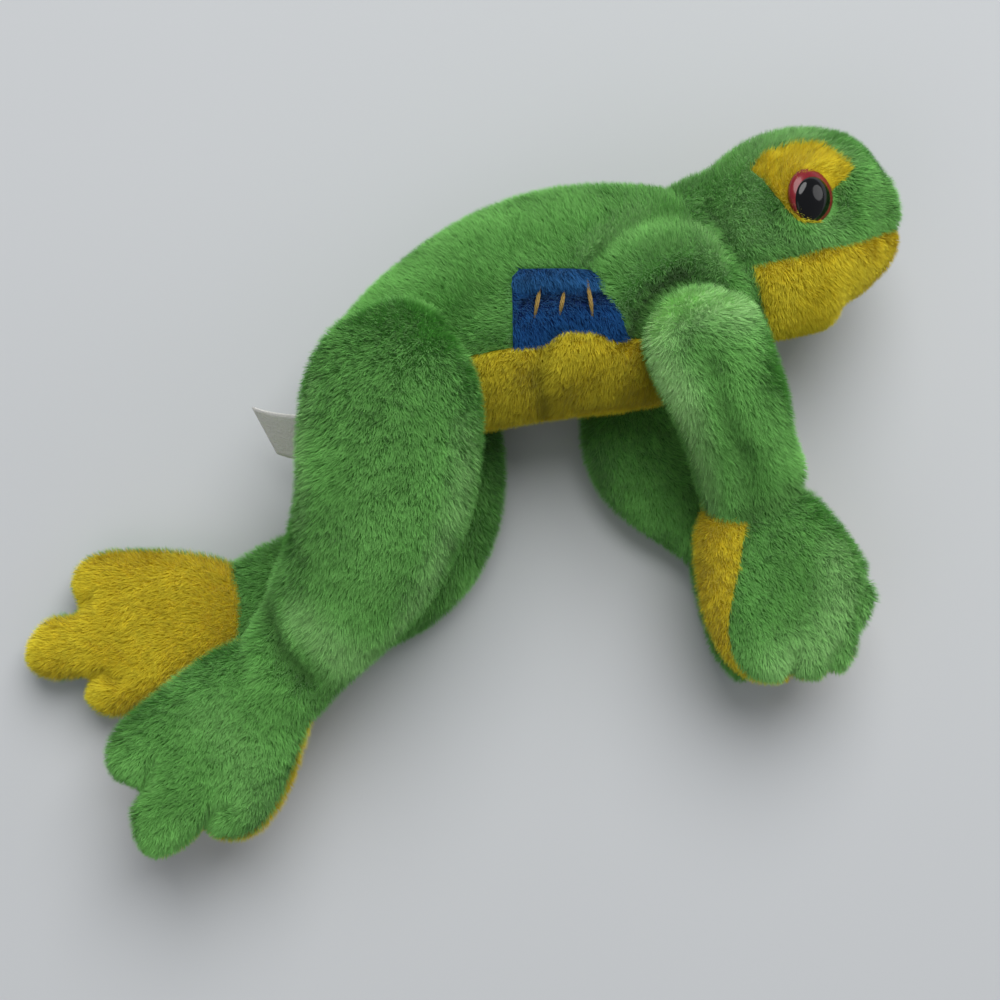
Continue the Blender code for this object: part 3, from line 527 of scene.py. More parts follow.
# Back: painted shade on its top and in the arm's crease, painted sheen on the rims of the shoulder.
BACK_PAINTED_LIGHT = [
    ([(430, 262), (500, 212), (580, 197), (650, 196)], 0.007, -0.06),
    ([(704, 214), (724, 246), (744, 276), (758, 306)], 0.0022, 0.55),
    ([(588, 250), (618, 222), (650, 206)], 0.0026, 0.30),
    ([(636, 332), (645, 308), (662, 290), (684, 272)], 0.0030, -0.45),
    ([(640, 244), (688, 238), (718, 262)], 0.0060, 0.12),
]
# Belly: painted shade on its underside, which faces away from the light, and in its fold.
BELLY_PAINTED_SHADE = [
    ([(492, 385), (560, 385), (640, 378), (668, 388)], 0.0090, -0.24),
    (BELLY_FOLD_PIXELS, 0.0018, -0.25),
]
# Blue patches: painted sheen on the puffed upper band, painted shade in the gathered valley below it.
PATCH_PAINTED_LIGHT = [
    ([(520, 283), (560, 280), (598, 283)], 0.0024, 0.32),
    ([(520, 298), (600, 300)], 0.0015, -0.3),
]
panel(
    "back_cloth",
    torso,
    "back_skin",
    green_plush,
    [("DIFFERENCE", block) for block in (belly_block, *patch_blocks.values())],
    length=0.0025,
    nap=(-0.8, 0.45, 0),
    bloom=BACK_PAINTED_LIGHT,
)
panel(
    "belly_cloth",
    torso,
    "belly_panel",
    yellow_plush,
    [("INTERSECT", belly_block)],
    length=0.0023,
    nap=(-0.4, -0.8, 0),
    bloom=BELLY_PAINTED_SHADE,
)
for side, word in SIDES:
    panel(
        f"flank_patch_cloth_{word}",
        torso,
        f"flank_patch_{word}",
        blue_plush,
        [("INTERSECT", patch_blocks[side]), ("DIFFERENCE", belly_block)],
        length=0.0020,
        nap=(0.2, -0.9, 0),
        bloom=PATCH_PAINTED_LIGHT,
    )


# Head: green plush over the crown and snout, yellow at the throat and round the eyes. It is sewn to
# the torso at the neck crease.
HEAD_LENGTH = 0.0405
HEAD_HEIGHT = 0.053
HEAD_WIDTH = 0.046
HEAD_STATION_SHARES = [
    (-0.50, -0.02, 0, 0.50, 0.40),
    (-0.34, 0.01, 0, 0.82, 0.62),
    (0.01, 0.02, 0, 0.86, 0.72),
    (0.30, 0.165, 0, 1.01, 0.88),
    (0.53, 0.250, 0, 0.95, 0.97),
    (0.70, 0.232, 0, 0.77, 0.84),
    (0.80, 0.228, 0, 0.67, 0.62),
    (0.85, 0.226, 0, 0.55, 0.42),
]
MOUTH_SHARES = [
    (0.39, -0.95), (0.16, -0.33), (0.065, -0.055), (0.30, -0.01), (0.39, 0.02), (0.60, 0.06),
    (0.96, 0.20), (1.60, 0.45), (1.60, -0.95),
]
THROAT_CORNER = 2
THROAT_END = 8
MOUTH_DEPTH = 0.0012
MOUTH_WIDTH = 0.0018
EYE_PATCH_PIXELS = [
    (755, 164), (769, 147), (796, 139), (820, 138), (833, 144), (851, 160), (854, 167),
    (843, 179), (834, 190), (831, 208), (820, 222), (806, 222), (796, 219), (787, 209),
    (778, 196), (766, 176),
]
EYE_SPREAD = 0.0197
EYE_SHIFT = 0.0007
EYE_SEAT_TURN = math.radians(28)
EYE_SEAT_RADIUS = 0.0062
EYE_SEAT_FADE = 0.0125
NOSTRIL_PIXELS = [(839, 193), (842, 200)]
NOSTRIL_DEPTH = 0.0014
NOSTRIL_WIDTH = 0.0018
NAPE_FOLD = (NECK_FOLD_PIXELS, 0.0022, 0.0024)
HEAD_SMOOTHING_ROUNDS = 22
BEND_BEHIND_NECK = Vector((-0.009, -0.002, 0))
BEND_BEFORE_NECK = Vector((0.009, 0.003, 0))
head = sewn(
    "head",
    stuffed_form(HEAD_STATION_SHARES, HEAD_LENGTH, HEAD_HEIGHT, HEAD_WIDTH, placed(neck_place, 0)),
    HEAD_SMOOTHING_ROUNDS,
)


def seat_eye(made, centre, normal):
    """Turns the surface round an eye to the eye's own slope, as the pull of its shank does."""
    points = points_of(made.data)
    gap = np.linalg.norm(points - np.array(centre), axis=1)
    share = ((EYE_SEAT_FADE - gap) / (EYE_SEAT_FADE - EYE_SEAT_RADIUS)).clip(0, 1)
    share = share * share * (3 - 2 * share)
    share *= points_of(made.data, "normal") @ np.array(normal) > 0
    off = (points - np.array(centre)) @ np.array(normal)
    move_points(made.data, points - np.array(normal) * (off * share)[:, None])


eye_places = {}
for side, word in SIDES:
    low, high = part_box(f"eye_{word}")
    middle = (low + high) / 2
    eye_places[side] = Vector((middle.x + EYE_SHIFT, middle.y, MIDDLE_HEIGHT + side * EYE_SPREAD))
    facing = Vector((math.sin(EYE_SEAT_TURN), 0, side * math.cos(EYE_SEAT_TURN)))
    seat_eye(head, eye_places[side], facing)
mouth_line = laid_out(MOUTH_SHARES, neck_place, HEAD_LENGTH)
press(head, mouth_line[THROAT_CORNER:THROAT_END], MOUTH_DEPTH, MOUTH_WIDTH)
press_folds(head, [NAPE_FOLD], FLANK_HEIGHT)
press(head, seen(NOSTRIL_PIXELS, FLANK_HEIGHT), NOSTRIL_DEPTH, NOSTRIL_WIDTH)
# Head: painted sheen on the cheek and crown, painted shade at the snout's tip and beside the sunken eye.
HEAD_PAINTED_LIGHT = [
    ([(738, 215), (775, 240), (830, 232)], 0.0090, 0.16),
    ([(745, 158), (770, 138), (815, 128), (850, 152)], 0.0050, 0.30),
    ([(872, 180), (884, 215)], 0.0080, -0.14),
    ([(775, 184), (791, 214), (806, 228)], 0.0016, -0.20),
]
mouth_block = prism(mouth_line, BLOCK_LOW, BLOCK_HIGH)
eye_patch_blocks = side_blocks(seen(EYE_PATCH_PIXELS, FLANK_HEIGHT))
HEAD_BEND = {
    "bodies": ("torso", "head"),
    "start": neck_place + BEND_BEHIND_NECK,
    "end": neck_place + BEND_BEFORE_NECK,
}
panel(
    "head_cloth",
    head,
    "head_skin",
    green_plush,
    [("DIFFERENCE", block) for block in (mouth_block, *eye_patch_blocks.values())],
    length=0.0023,
    nap=(0.7, -0.5, 0),
    bloom=HEAD_PAINTED_LIGHT,
    **HEAD_BEND,
)
panel(
    "throat_cloth",
    head,
    "throat_panel",
    yellow_plush,
    [("INTERSECT", mouth_block)],
    length=0.0020,
    nap=(0.3, -0.9, 0),
    **HEAD_BEND,
)
for side, word in SIDES:
    panel(
        f"eye_patch_cloth_{word}",
        head,
        f"eye_patch_{word}",
        yellow_plush,
        [("INTERSECT", eye_patch_blocks[side])],
        length=0.0021,
        nap=(0.8, 0.3, 0),
        **HEAD_BEND,
    )


# Legs and arms: stuffed plush tubes, sewn flat to the torso's side at a round crease, with the nap
# brushed towards the feet and hands.
LEG_WIDTH = 0.045
LEG_THICKNESS = 0.028
ARM_WIDTH = 0.029
ARM_THICKNESS = 0.024
CREASE_LENGTH = 0.018
NEAR_LEG_SHARES = [
    (-0.26, -0.01, 0.63, 0.44, 0.44),
    (-0.16, 0.00, 0.64, 0.86, 0.78),
    (0.04, 0.03, 0.61, 1.04, 0.94),
    (0.36, 0.155, 0.53, 0.98, 1.02),
    (0.69, 0.125, 0.30, 0.84, 0.93),
    (0.95, 0.04, -0.04, 0.64, 0.74),
    (1.16, 0.00, -0.10, 0.58, 0.66),
    (1.26, 0.00, -0.10, 0.40, 0.46),
]
FAR_LEG_SHARES = [
    (-0.32, 0.00, -0.66, 0.40, 0.36),
    (-0.19, 0.03, -0.66, 0.80, 0.68),
    (0.03, 0.13, -0.625, 1.00, 0.86),
    (0.32, 0.38, -0.565, 1.00, 1.00),
    (0.65, 0.35, -0.65, 0.90, 0.83),
    (0.93, 0.08, -0.72, 0.74, 0.64),
    (1.16, 0.00, -0.73, 0.72, 0.62),
    (1.27, 0.00, -0.73, 0.50, 0.44),
]
NEAR_ARM_SHARES = [
    (-0.06, -0.045, 0.70, 0.66, 0.50),
    (0.01, -0.045, 0.70, 1.02, 0.86),
    (0.20, -0.02, 0.66, 1.06, 1.02),
    (0.58, 0.05, 0.43, 0.99, 1.04),
    (0.92, 0.04, -0.04, 0.90, 0.84),
    (1.08, 0.02, -0.10, 0.84, 0.76),
    (1.20, 0.00, -0.10, 0.57, 0.52),
]
FAR_ARM_SHARES = [
    (-0.18, 0.00, -0.66, 0.41, 0.33),
    (-0.08, 0.00, -0.66, 0.83, 0.71),
    (0.10, -0.10, -0.65, 1.00, 0.90),
    (0.38, -0.37, -0.68, 1.08, 0.90),
    (0.70, -0.38, -0.69, 0.98, 0.83),
    (0.94, -0.12, -0.72, 0.84, 0.72),
    (1.20, 0.03, -0.73, 0.78, 0.68),
    (1.36, 0.06, -0.73, 0.50, 0.46),
]
LIMBS = {
    "leg_near": ("hip_near_swing", "ankle_near_bend", NEAR_LEG_SHARES, LEG_WIDTH, LEG_THICKNESS),
    "leg_far": ("hip_far_swing", "ankle_far_bend", FAR_LEG_SHARES, LEG_WIDTH, LEG_THICKNESS),
    "arm_near": ("shoulder_near_swing", "wrist_near_bend", NEAR_ARM_SHARES, ARM_WIDTH, ARM_THICKNESS),
    "arm_far": ("shoulder_far_swing", "wrist_far_bend", FAR_ARM_SHARES, ARM_WIDTH, ARM_THICKNESS),
}
wholes = {"torso": torso, "head": head}
limb_runs = {}
for limb, (upper, lower, shares, width, thickness) in LIMBS.items():
    run = joint_places[lower] - joint_places[upper]
    limb_runs[limb] = run.normalized()
    matrix = placed(joint_places[upper], math.atan2(run.y, run.x))
    wholes[limb] = sewn(limb, stuffed_form(shares, run.length, width, thickness, matrix))
ANKLE_FOLD_PIXELS = [(260, 606), (271, 631), (280, 652), (297, 669), (318, 688)]
WRIST_FOLD_PIXELS = [(698, 511), (752, 515), (781, 500), (812, 478)]
ELBOW_FOLD_PIXELS = [(697, 372), (708, 392), (717, 418), (735, 449), (746, 472), (751, 508)]
CUFF_PIXEL = (799, 466)
FOLD_HEIGHT = 0.038
CUFF_LEVEL = 0.030
CUFF_RADIUS = 0.0075
CUFF_BULGE = 0.0024
ELBOW_FOLD = (ELBOW_FOLD_PIXELS, 0.0024, 0.0030)
WRIST_FOLD = (WRIST_FOLD_PIXELS, 0.0012, 0.0030)
ANKLE_FOLD = (ANKLE_FOLD_PIXELS, 0.0034, 0.0036)
cuff = seen([CUFF_PIXEL], FOLD_HEIGHT)[0]
swell(wholes["arm_near"], (*cuff, CUFF_LEVEL), CUFF_RADIUS, CUFF_BULGE)
press_folds(wholes["arm_near"], [ELBOW_FOLD, WRIST_FOLD], FOLD_HEIGHT)
press_folds(wholes["leg_near"], [ANKLE_FOLD], FOLD_HEIGHT)
# Near arm and leg: painted sheen on their rims, painted shade in their folds and in the thigh's middle.
LIMB_PAINTED_LIGHT = {
    "arm_near": [
        ([(652, 330), (658, 360), (680, 400), (692, 445), (706, 500)], 0.0042, 0.75),
        ([(660, 312), (692, 300), (728, 306)], 0.0060, 0.85),
        ([(712, 400), (735, 449), (750, 505)], 0.0022, -0.15),
        (WRIST_FOLD_PIXELS[1:], 0.0026, -0.30),
    ],
    "leg_near": [
        ([(300, 620), (345, 665), (380, 668)], 0.0060, 0.35),
        ([(312, 380), (302, 450), (300, 520)], 0.0030, 0.20),
        ([(470, 430), (458, 500), (435, 570), (402, 640)], 0.0038, 0.36),
        ([(262, 600), (275, 640), (302, 674)], 0.0030, -0.35),
        ([(380, 400), (388, 480), (352, 560)], 0.0120, -0.09),
    ],
}
for limb, (upper, *_) in LIMBS.items():
    kind, word = limb.split("_")
    panel(
        f"{limb}_cloth",
        wholes[limb],
        f"{kind}_skin_{word}",
        green_plush,
        bodies=("torso", limb),
        bloom=LIMB_PAINTED_LIGHT.get(limb, ()),
        length=0.0026,
        nap=tuple(limb_runs[limb]),
        start=joint_places[upper],
        end=joint_places[upper] + limb_runs[limb] * CREASE_LENGTH,
    )


# Hands and feet: two flat panels with fingers or toes, green outside and yellow inside, sewn
# together round the edge and filled, so that they swell most in the middle.
FOOT_LENGTH = 0.059
FOOT_WIDTH = 0.046
FOOT_THICKNESS = 0.018
HAND_LENGTH = 0.050
HAND_WIDTH = 0.040
HAND_THICKNESS = 0.018
FOOT_OUTLINE_SHARES = [
    (0.00, -0.26), (0.22, -0.40), (0.47, -0.51), (0.66, -0.58), (0.79, -0.55), (0.86, -0.43),
    (0.80, -0.29), (0.94, -0.25), (1.05, -0.09), (1.04, 0.05), (0.92, 0.12), (0.84, 0.17),
    (0.81, 0.28), (0.74, 0.41), (0.61, 0.46), (0.37, 0.41), (0.18, 0.31), (0.00, 0.26),
    (-0.10, 0.00),
]
NEAR_HAND_OUTLINE_SHARES = [
    (-0.08, -0.31), (0.20, -0.46), (0.44, -0.55), (0.67, -0.56), (0.85, -0.47), (0.95, -0.29),
    (0.955, -0.13), (1.02, -0.02), (1.03, 0.14), (0.955, 0.25), (0.93, 0.33), (0.86, 0.40),
    (0.79, 0.45), (0.76, 0.53), (0.62, 0.57), (0.36, 0.51), (0.13, 0.43), (0.00, 0.34),
    (-0.20, 0.00),
]
FAR_HAND_OUTLINE_SHARES = [
    (0.00, -0.26), (0.18, -0.30), (0.46, -0.35), (0.68, -0.35), (0.84, -0.29), (0.88, -0.17),
    (0.81, -0.06), (0.95, 0.00), (0.96, 0.12), (0.84, 0.18), (0.92, 0.28), (0.84, 0.40),
    (0.68, 0.43), (0.46, 0.42), (0.22, 0.36), (0.00, 0.28), (-0.10, 0.00),
]
FAR_FOOT_OUTLINE_SHARES = [
    (0.00, -0.26), (0.22, -0.40), (0.45, -0.49), (0.60, -0.53), (0.71, -0.50), (0.76, -0.38),
    (0.73, -0.26), (0.92, -0.24), (1.04, -0.10), (1.04, 0.05), (0.93, 0.14), (0.79, 0.17),
    (0.84, 0.29), (0.77, 0.42), (0.62, 0.45), (0.37, 0.38), (0.18, 0.31), (0.00, 0.26),
    (-0.10, 0.00),
]
FOOT_CREASE_SHARES = [
    [(0.66, -0.26), (0.78, -0.23), (0.88, -0.28)],
    [(0.63, 0.21), (0.69, 0.155), (0.80, 0.17), (0.92, 0.16)],
]
HAND_CREASE_SHARES = [
    [(0.80, -0.11), (0.86, -0.15), (0.96, -0.23)],
    [(0.85, 0.17), (0.90, 0.10), (1.00, 0.03)],
    [(0.62, 0.49), (0.69, 0.42), (0.80, 0.33), (0.92, 0.30)],
]
# Near hand and foot: painted sheen on their rims, painted shade near the wrist and in its fold.
EXTREMITY_PAINTED_LIGHT = {
    "hand_near": [
        ([(852, 560), (852, 610), (836, 645), (795, 668)], 0.0060, 0.42),
        ([(785, 530), (800, 560)], 0.0060, -0.10),
        (WRIST_FOLD_PIXELS[1:], 0.0026, -0.30),
    ],
    "foot_near": [([(200, 720), (235, 770), (250, 815)], 0.0060, 0.12)],
}
RIM = 0.011
OUTLINE_STEPS = 6
PILLOW_GRAIN = CLOTH_GRAIN * 1.2
EDGE_GAP = PILLOW_GRAIN * 0.6
WELD_DISTANCE = 1e-6
PILLOW_SMOOTHING_ROUNDS = 4
PANEL_INSET = PILE_DEPTH * 0.8
CREASE_DEPTH = 0.0026
CREASE_WIDTH = 0.0017
BEND_BEHIND_CUFF = 0.004
BEND_BEFORE_CUFF = 0.010


def rounded_outline(points):
    """A closed smooth curve that passes near the points."""
    line = smooth_line([points[-1], *points, points[0], points[1]], OUTLINE_STEPS)
    return line[OUTLINE_STEPS : OUTLINE_STEPS * (len(points) + 1)]


def pillow(outline, half, matrix):
    """Two panels sewn round an outline and filled: a closed form, highest away from its edge."""
    line = rounded_outline(outline)
    low, high = line.min(0), line.max(0)
    rows = np.arange(low[0], high[0], PILLOW_GRAIN)
    columns = np.arange(low[1], high[1], PILLOW_GRAIN)
    spots = np.stack(np.meshgrid(rows, columns, indexing="ij"), -1).reshape(-1, 2)
    spots = spots[line_distance(spots, line, closed=True) > EDGE_GAP]
    flat = [Vector(spot) for spot in np.vstack([line, spots])]
    rim = list(range(len(line)))
    found = delaunay_2d_cdt(flat, [], [rim], 1, CUT_TOLERANCE)
    places = np.array([tuple(place) for place in found[0]])
    gap = (line_distance(places, line, closed=True) / RIM).clip(0, 1)
    rise = (half - PILE_DEPTH) * np.sqrt(1 - (1 - gap) ** 2)
    bm = bmesh.new()
    for side, _ in SIDES:
        sheet = [bm.verts.new((*place, side * lift)) for place, lift in zip(places, rise)]
        for face in found[2]:
            bm.faces.new([sheet[i] for i in (face if side == 1 else face[::-1])])
    bmesh.ops.remove_doubles(bm, verts=bm.verts, dist=WELD_DISTANCE)
    bmesh.ops.recalc_face_normals(bm, faces=bm.faces)
    bmesh.ops.transform(bm, matrix=matrix, verts=bm.verts)
    return meshed(bm, "pillow")


def inset(outline, amount):
    """An outline drawn in by about the depth of the pile."""
    middle = np.mean(outline, axis=0)
    points = []
    for point in outline:
        out = np.array(point) - middle
        points.append(tuple(middle + out * (1 - amount / np.linalg.norm(out))))
    return points


FAR_LEVEL = FOOT_THICKNESS / 2
NEAR_LEVEL = FOOT_THICKNESS * 1.5
EXTREMITIES = {
    "foot_near": ("ankle_near_bend", FOOT_OUTLINE_SHARES, -124.0, NEAR_LEVEL, 7.0, math.inf, 1),
    "foot_far": ("ankle_far_bend", FAR_FOOT_OUTLINE_SHARES, -164.8, FAR_LEVEL, 0.0, math.inf, -1),
    "hand_near": ("wrist_near_bend", NEAR_HAND_OUTLINE_SHARES, -66.0, NEAR_LEVEL, -98.0, 0.0165, 1),
    "hand_far": ("wrist_far_bend", FAR_HAND_OUTLINE_SHARES, -71.0, FAR_LEVEL, -34.0, math.inf, -1),
}
MAKES = {
    "foot": (FOOT_LENGTH, FOOT_WIDTH, FOOT_THICKNESS, FOOT_CREASE_SHARES, "leg", "foot_top", "foot_sole"),
    "hand": (HAND_LENGTH, HAND_WIDTH, HAND_THICKNESS, HAND_CREASE_SHARES, "arm", "hand_back", "palm"),
}
FOLDED = {"foot_near": ANKLE_FOLD, "hand_near": WRIST_FOLD}
for name, (joint, shares, degrees, level, roll, fade, side) in EXTREMITIES.items():
    kind, word = name.split("_")
    length, width, thickness, creases, limb, outer, inner = MAKES[kind]
    outline = inset([(x * length, y * width) for x, y in shares], PANEL_INSET)
    root = joint_places[joint]
    turn = math.radians(degrees)
    matrix = placed(Vector((root.x, root.y, level)), turn)
    whole = sewn(name, pillow(outline, thickness / 2, matrix), PILLOW_SMOOTHING_ROUNDS)
    for crease in creases:
        line = [matrix @ Vector((x * length, y * width, 0)) for x, y in crease]
        press(whole, [tuple(point.xy) for point in line], CREASE_DEPTH, CREASE_WIDTH)
    if name in FOLDED:
        pixels, fold_depth, fold_width = FOLDED[name]
        press(whole, seen(pixels, FOLD_HEIGHT), fold_depth, fold_width)
    wholes[name] = whole
    out = Vector((math.cos(turn), math.sin(turn), 0))
    for piece, colour, kept_side, pile_length, strokes in (
        (outer, green_plush, side, 0.0025, EXTREMITY_PAINTED_LIGHT.get(name, ())),
        (inner, yellow_plush, -side, 0.0023, ()),
    ):
        panel(
            f"{piece}_cloth_{word}",
            whole,
            f"{piece}_{word}",
            colour,
            seam=(matrix, math.radians(roll), fade, kept_side),
            bodies=(f"{limb}_{word}", name),
            bloom=strokes,
            length=pile_length,
            nap=tuple(out),
            start=root - out * BEND_BEHIND_CUFF,
            end=root + out * BEND_BEFORE_CUFF,
        )


# Pile: the soft fibres of the plush, each a slim pointed blade that grows from the cloth and leans
# with the nap. A tree of geometry nodes spreads and turns them, and leaves out what would poke through.
FIBRE_WIDTH = 0.00021
PILE_DENSITY = 14e6
MOST_FIBRES = 190000
LEAN = math.radians(30)
SWIRL = 3.2
RUFFLE = 0.28
FIRST_SEED = 100
SEED_STEP = 10
PATCH_SCALE = 55
PATCH_LEAN = 0.7
LEAST_LEAN = 0.65
TUFT_SCALE = 520
TUFT_LEAN = 1.2
TUFT_TONE = 1.5
TUFT_HOLLOW = 0.3
FIBRE_TONE = 0.4
BLADE_TURN = 0.6
NORMAL_SPREAD = 0.26
LENGTH_SPREAD = (0.72, 1.12)
WIDTH_SPREAD = (0.7, 1.3)
POKE_DEPTH = 0.0010
BURIED_DEPTH = 0.0060
FLOOR_CLEARANCE = 0.0002
EYE_CLEARING = 0.0057
EYE_CLEARING_SHIFT = 0.0017
EYE_CLEARING_FADE = 0.0012
SHORTEST_SHARE = 0.12
LEAST_LAY = 0.2
UPPER_SLOPE = 0.3
FIBRE_SPOT_SHARES = [(0.1, 0.1), (0.9, 0.1), (0.5, 0.9)]
blade_mesh = bpy.data.meshes.new("fibre")
blade_mesh.from_pydata([(-0.5, 0, 0), (0.5, 0, 0), (0, 0, 1)], [], [(0, 1, 2)])
along = blade_mesh.attributes.new("along", "FLOAT", "POINT")
along.data.foreach_set("value", [0.0, 0.0, 1.0])
blade = held_object("fibre", blade_mesh)

tree = bpy.data.node_groups.new("plush pile", "GeometryNodeTree")
add_inputs(
    tree,
    {
        "Geometry": ["Cloth"],
        "Object": ["Fibre", "Neighbours"],
        "Float": ["Density", "Length", "Width", "Lean", "Swirl", "Ruffle"],
        "Int": ["Seed"],
        "Material": ["Material"],
    },
)
tree.interface.new_socket("Pile", in_out="OUTPUT", socket_type="NodeSocketGeometry")
asked = tree.nodes.new("NodeGroupInput").outputs
given = tree.nodes.new("NodeGroupOutput")


def number(operation, *values):
    """A calculation with numbers in the pile's tree."""
    made = node(tree, "ShaderNodeMath", dict(enumerate(values)), operation=operation)
    return made.outputs[0]


def vector(operation, *values):
    """A calculation with vectors in the pile's tree."""
    made = node(tree, "ShaderNodeVectorMath", {}, operation=operation)
    for place, value in enumerate(values):
        socket = made.inputs["Scale"] if operation == "SCALE" and place == 1 else made.inputs[place]
        if isinstance(value, bpy.types.NodeSocket):
            tree.links.new(value, socket)
        else:
            socket.default_value = value
    return made.outputs["Value" if operation == "DOT_PRODUCT" else "Vector"]


def chance(low, high, seed):
    """A random number or vector of its own for each fibre."""
    whole = isinstance(low, tuple)
    made = tree.nodes.new("FunctionNodeRandomValue")
    made.data_type = "FLOAT_VECTOR" if whole else "FLOAT"
    made.inputs[0 if whole else 2].default_value = low
    made.inputs[1 if whole else 3].default_value = high
    tree.links.new(number("ADD", asked["Seed"], seed), made.inputs["Seed"])
    return made.outputs[0 if whole else 1]


def jitter(seed, amount):
    """A small random vector of its own for each fibre."""
    return vector("SCALE", chance((-1, -1, -1), (1, 1, 1), seed), amount)


def marked(name, kind="FLOAT_VECTOR"):
    """What the cloth's or the pile's points are marked with under a name."""
    return node(tree, "GeometryNodeInputNamedAttribute", {"Name": name}, data_type=kind).outputs[0]


def stored(geometry, name, kind, value):
    """Marks points with a value under a name."""
    return node(
        tree,
        "GeometryNodeStoreNamedAttribute",
        {"Geometry": geometry, "Name": name, "Value": value},
        data_type=kind,
        domain="POINT",
    ).outputs[0]


scatter = node(
    tree,
    "GeometryNodeDistributePointsOnFaces",
    {"Mesh": asked["Cloth"], "Density": asked["Density"], "Seed": asked["Seed"]},
)
outward = scatter.outputs["Normal"]
combed = marked("nap")
height = marked("height", "FLOAT")
position = tree.nodes.new("GeometryNodeInputPosition").outputs[0]
patches = node(tree, "ShaderNodeTexNoise", {"Vector": position, "Scale": PATCH_SCALE, "Detail": 2})
tufts = node(tree, "ShaderNodeTexNoise", {"Vector": position, "Scale": TUFT_SCALE, "Detail": 1})
swirl = number("MULTIPLY", number("SUBTRACT", patches.outputs["Fac"], 0.5), asked["Swirl"])
across = vector("CROSS_PRODUCT", outward, combed)
combed = vector(
    "ADD",
    vector("SCALE", combed, number("COSINE", swirl)),
    vector("SCALE", across, number("SINE", swirl)),
)
lean = number("ADD", number("MULTIPLY", patches.outputs["Fac"], PATCH_LEAN), LEAST_LEAN)
lean = number("MULTIPLY", asked["Lean"], lean)
clump = vector("SCALE", vector("SUBTRACT", tufts.outputs["Color"], (0.5, 0.5, 0.5)), TUFT_LEAN)
ruffle = jitter(1, asked["Ruffle"])
standing = vector("SCALE", outward, number("COSINE", lean))
lying = vector("SCALE", combed, number("SINE", lean))
direction = vector(
    "NORMALIZE", vector("ADD", vector("ADD", standing, lying), vector("ADD", clump, ruffle))
)
sideways = vector("ADD", vector("CROSS_PRODUCT", combed, outward), jitter(2, BLADE_TURN))
facing = node(
    tree,
    "FunctionNodeAxesToRotation",
    {"Primary Axis": direction, "Secondary Axis": sideways},
    primary_axis="Z",
    secondary_axis="X",
).outputs[0]
grown = number("MULTIPLY", number("MULTIPLY", asked["Length"], height), chance(*LENGTH_SPREAD, 3))
thick = number("MULTIPLY", asked["Width"], chance(*WIDTH_SPREAD, 4))
size = node(tree, "ShaderNodeCombineXYZ", {"X": thick, "Y": grown, "Z": grown}).outputs[0]
others = node(tree, "GeometryNodeObjectInfo", {"Object": asked["Neighbours"]}).outputs["Geometry"]
other_normal = tree.nodes.new("GeometryNodeInputNormal").outputs[0]


def depth_at(place):
    """How far a place is outside the other body parts. It is negative inside one."""
    near = node(tree, "GeometryNodeProximity", {"Geometry": others, "Sample Position": place})
    face = node(
        tree,
        "GeometryNodeSampleNearestSurface",
        {"Mesh": others, "Value": other_normal, "Sample Position": place},
        data_type="FLOAT_VECTOR",
    )
    return vector("DOT_PRODUCT", vector("SUBTRACT", place, near.outputs["Position"]), face.outputs[0])


root_depth = depth_at(position)
tip_depth = depth_at(vector("ADD", position, vector("SCALE", direction, grown)))
covered = number("LESS_THAN", root_depth, 0.0)
poking = number("GREATER_THAN", tip_depth, -POKE_DEPTH)
deep = number("LESS_THAN", root_depth, -BURIED_DEPTH)
unseen = number("MAXIMUM", number("MULTIPLY", covered, poking), deep)
kept = node(
    tree,
    "GeometryNodeDeleteGeometry",
    {"Geometry": scatter.outputs["Points"], "Selection": unseen},
    domain="POINT",
).outputs[0]
soft_normal = vector("NORMALIZE", vector("ADD", outward, jitter(5, NORMAL_SPREAD)))
tufted = number("MULTIPLY", number("SUBTRACT", tufts.outputs["Fac"], TUFT_HOLLOW), TUFT_TONE)
tone = number("ADD", number("MULTIPLY", chance(0.0, 1.0, 6), FIBRE_TONE), tufted)
kept = stored(kept, "tone", "FLOAT", tone)
kept = stored(kept, "soft_normal", "FLOAT_VECTOR", soft_normal)
fibre = node(tree, "GeometryNodeObjectInfo", {"Object": asked["Fibre"]}).outputs["Geometry"]
spread = node(
    tree,
    "GeometryNodeInstanceOnPoints",
    {"Points": kept, "Instance": fibre, "Rotation": facing, "Scale": size},
).outputs[0]
real = node(tree, "GeometryNodeRealizeInstances", {"Geometry": spread}).outputs[0]
apart = node(tree, "ShaderNodeSeparateXYZ", {"Vector": position}).outputs
above = node(
    tree,
    "ShaderNodeCombineXYZ",
    {"X": apart["X"], "Y": apart["Y"], "Z": number("MAXIMUM", apart["Z"], FLOOR_CLEARANCE)},
).outputs[0]
real = node(tree, "GeometryNodeSetPosition", {"Geometry": real, "Position": above}).outputs[0]
real = node(tree, "GeometryNodeSetMeshNormal", {"Mesh": real}, mode="FREE", domain="POINT")
tree.links.new(marked("soft_normal"), real.inputs["Custom Normal"])
dressed = node(
    tree, "GeometryNodeSetMaterial", {"Geometry": real.outputs[0], "Material": asked["Material"]}
).outputs[0]
tree.links.new(dressed, given.inputs["Pile"])
asked_items = [item for item in tree.interface.items_tree if item.in_out == "INPUT"]
socket_names = {item.name: item.identifier for item in asked_items}


def joined(name, meshes):
    """Several meshes in one."""
    bm = bmesh.new()
    for mesh in meshes:
        bm.from_mesh(mesh)
    return meshed(bm, name)


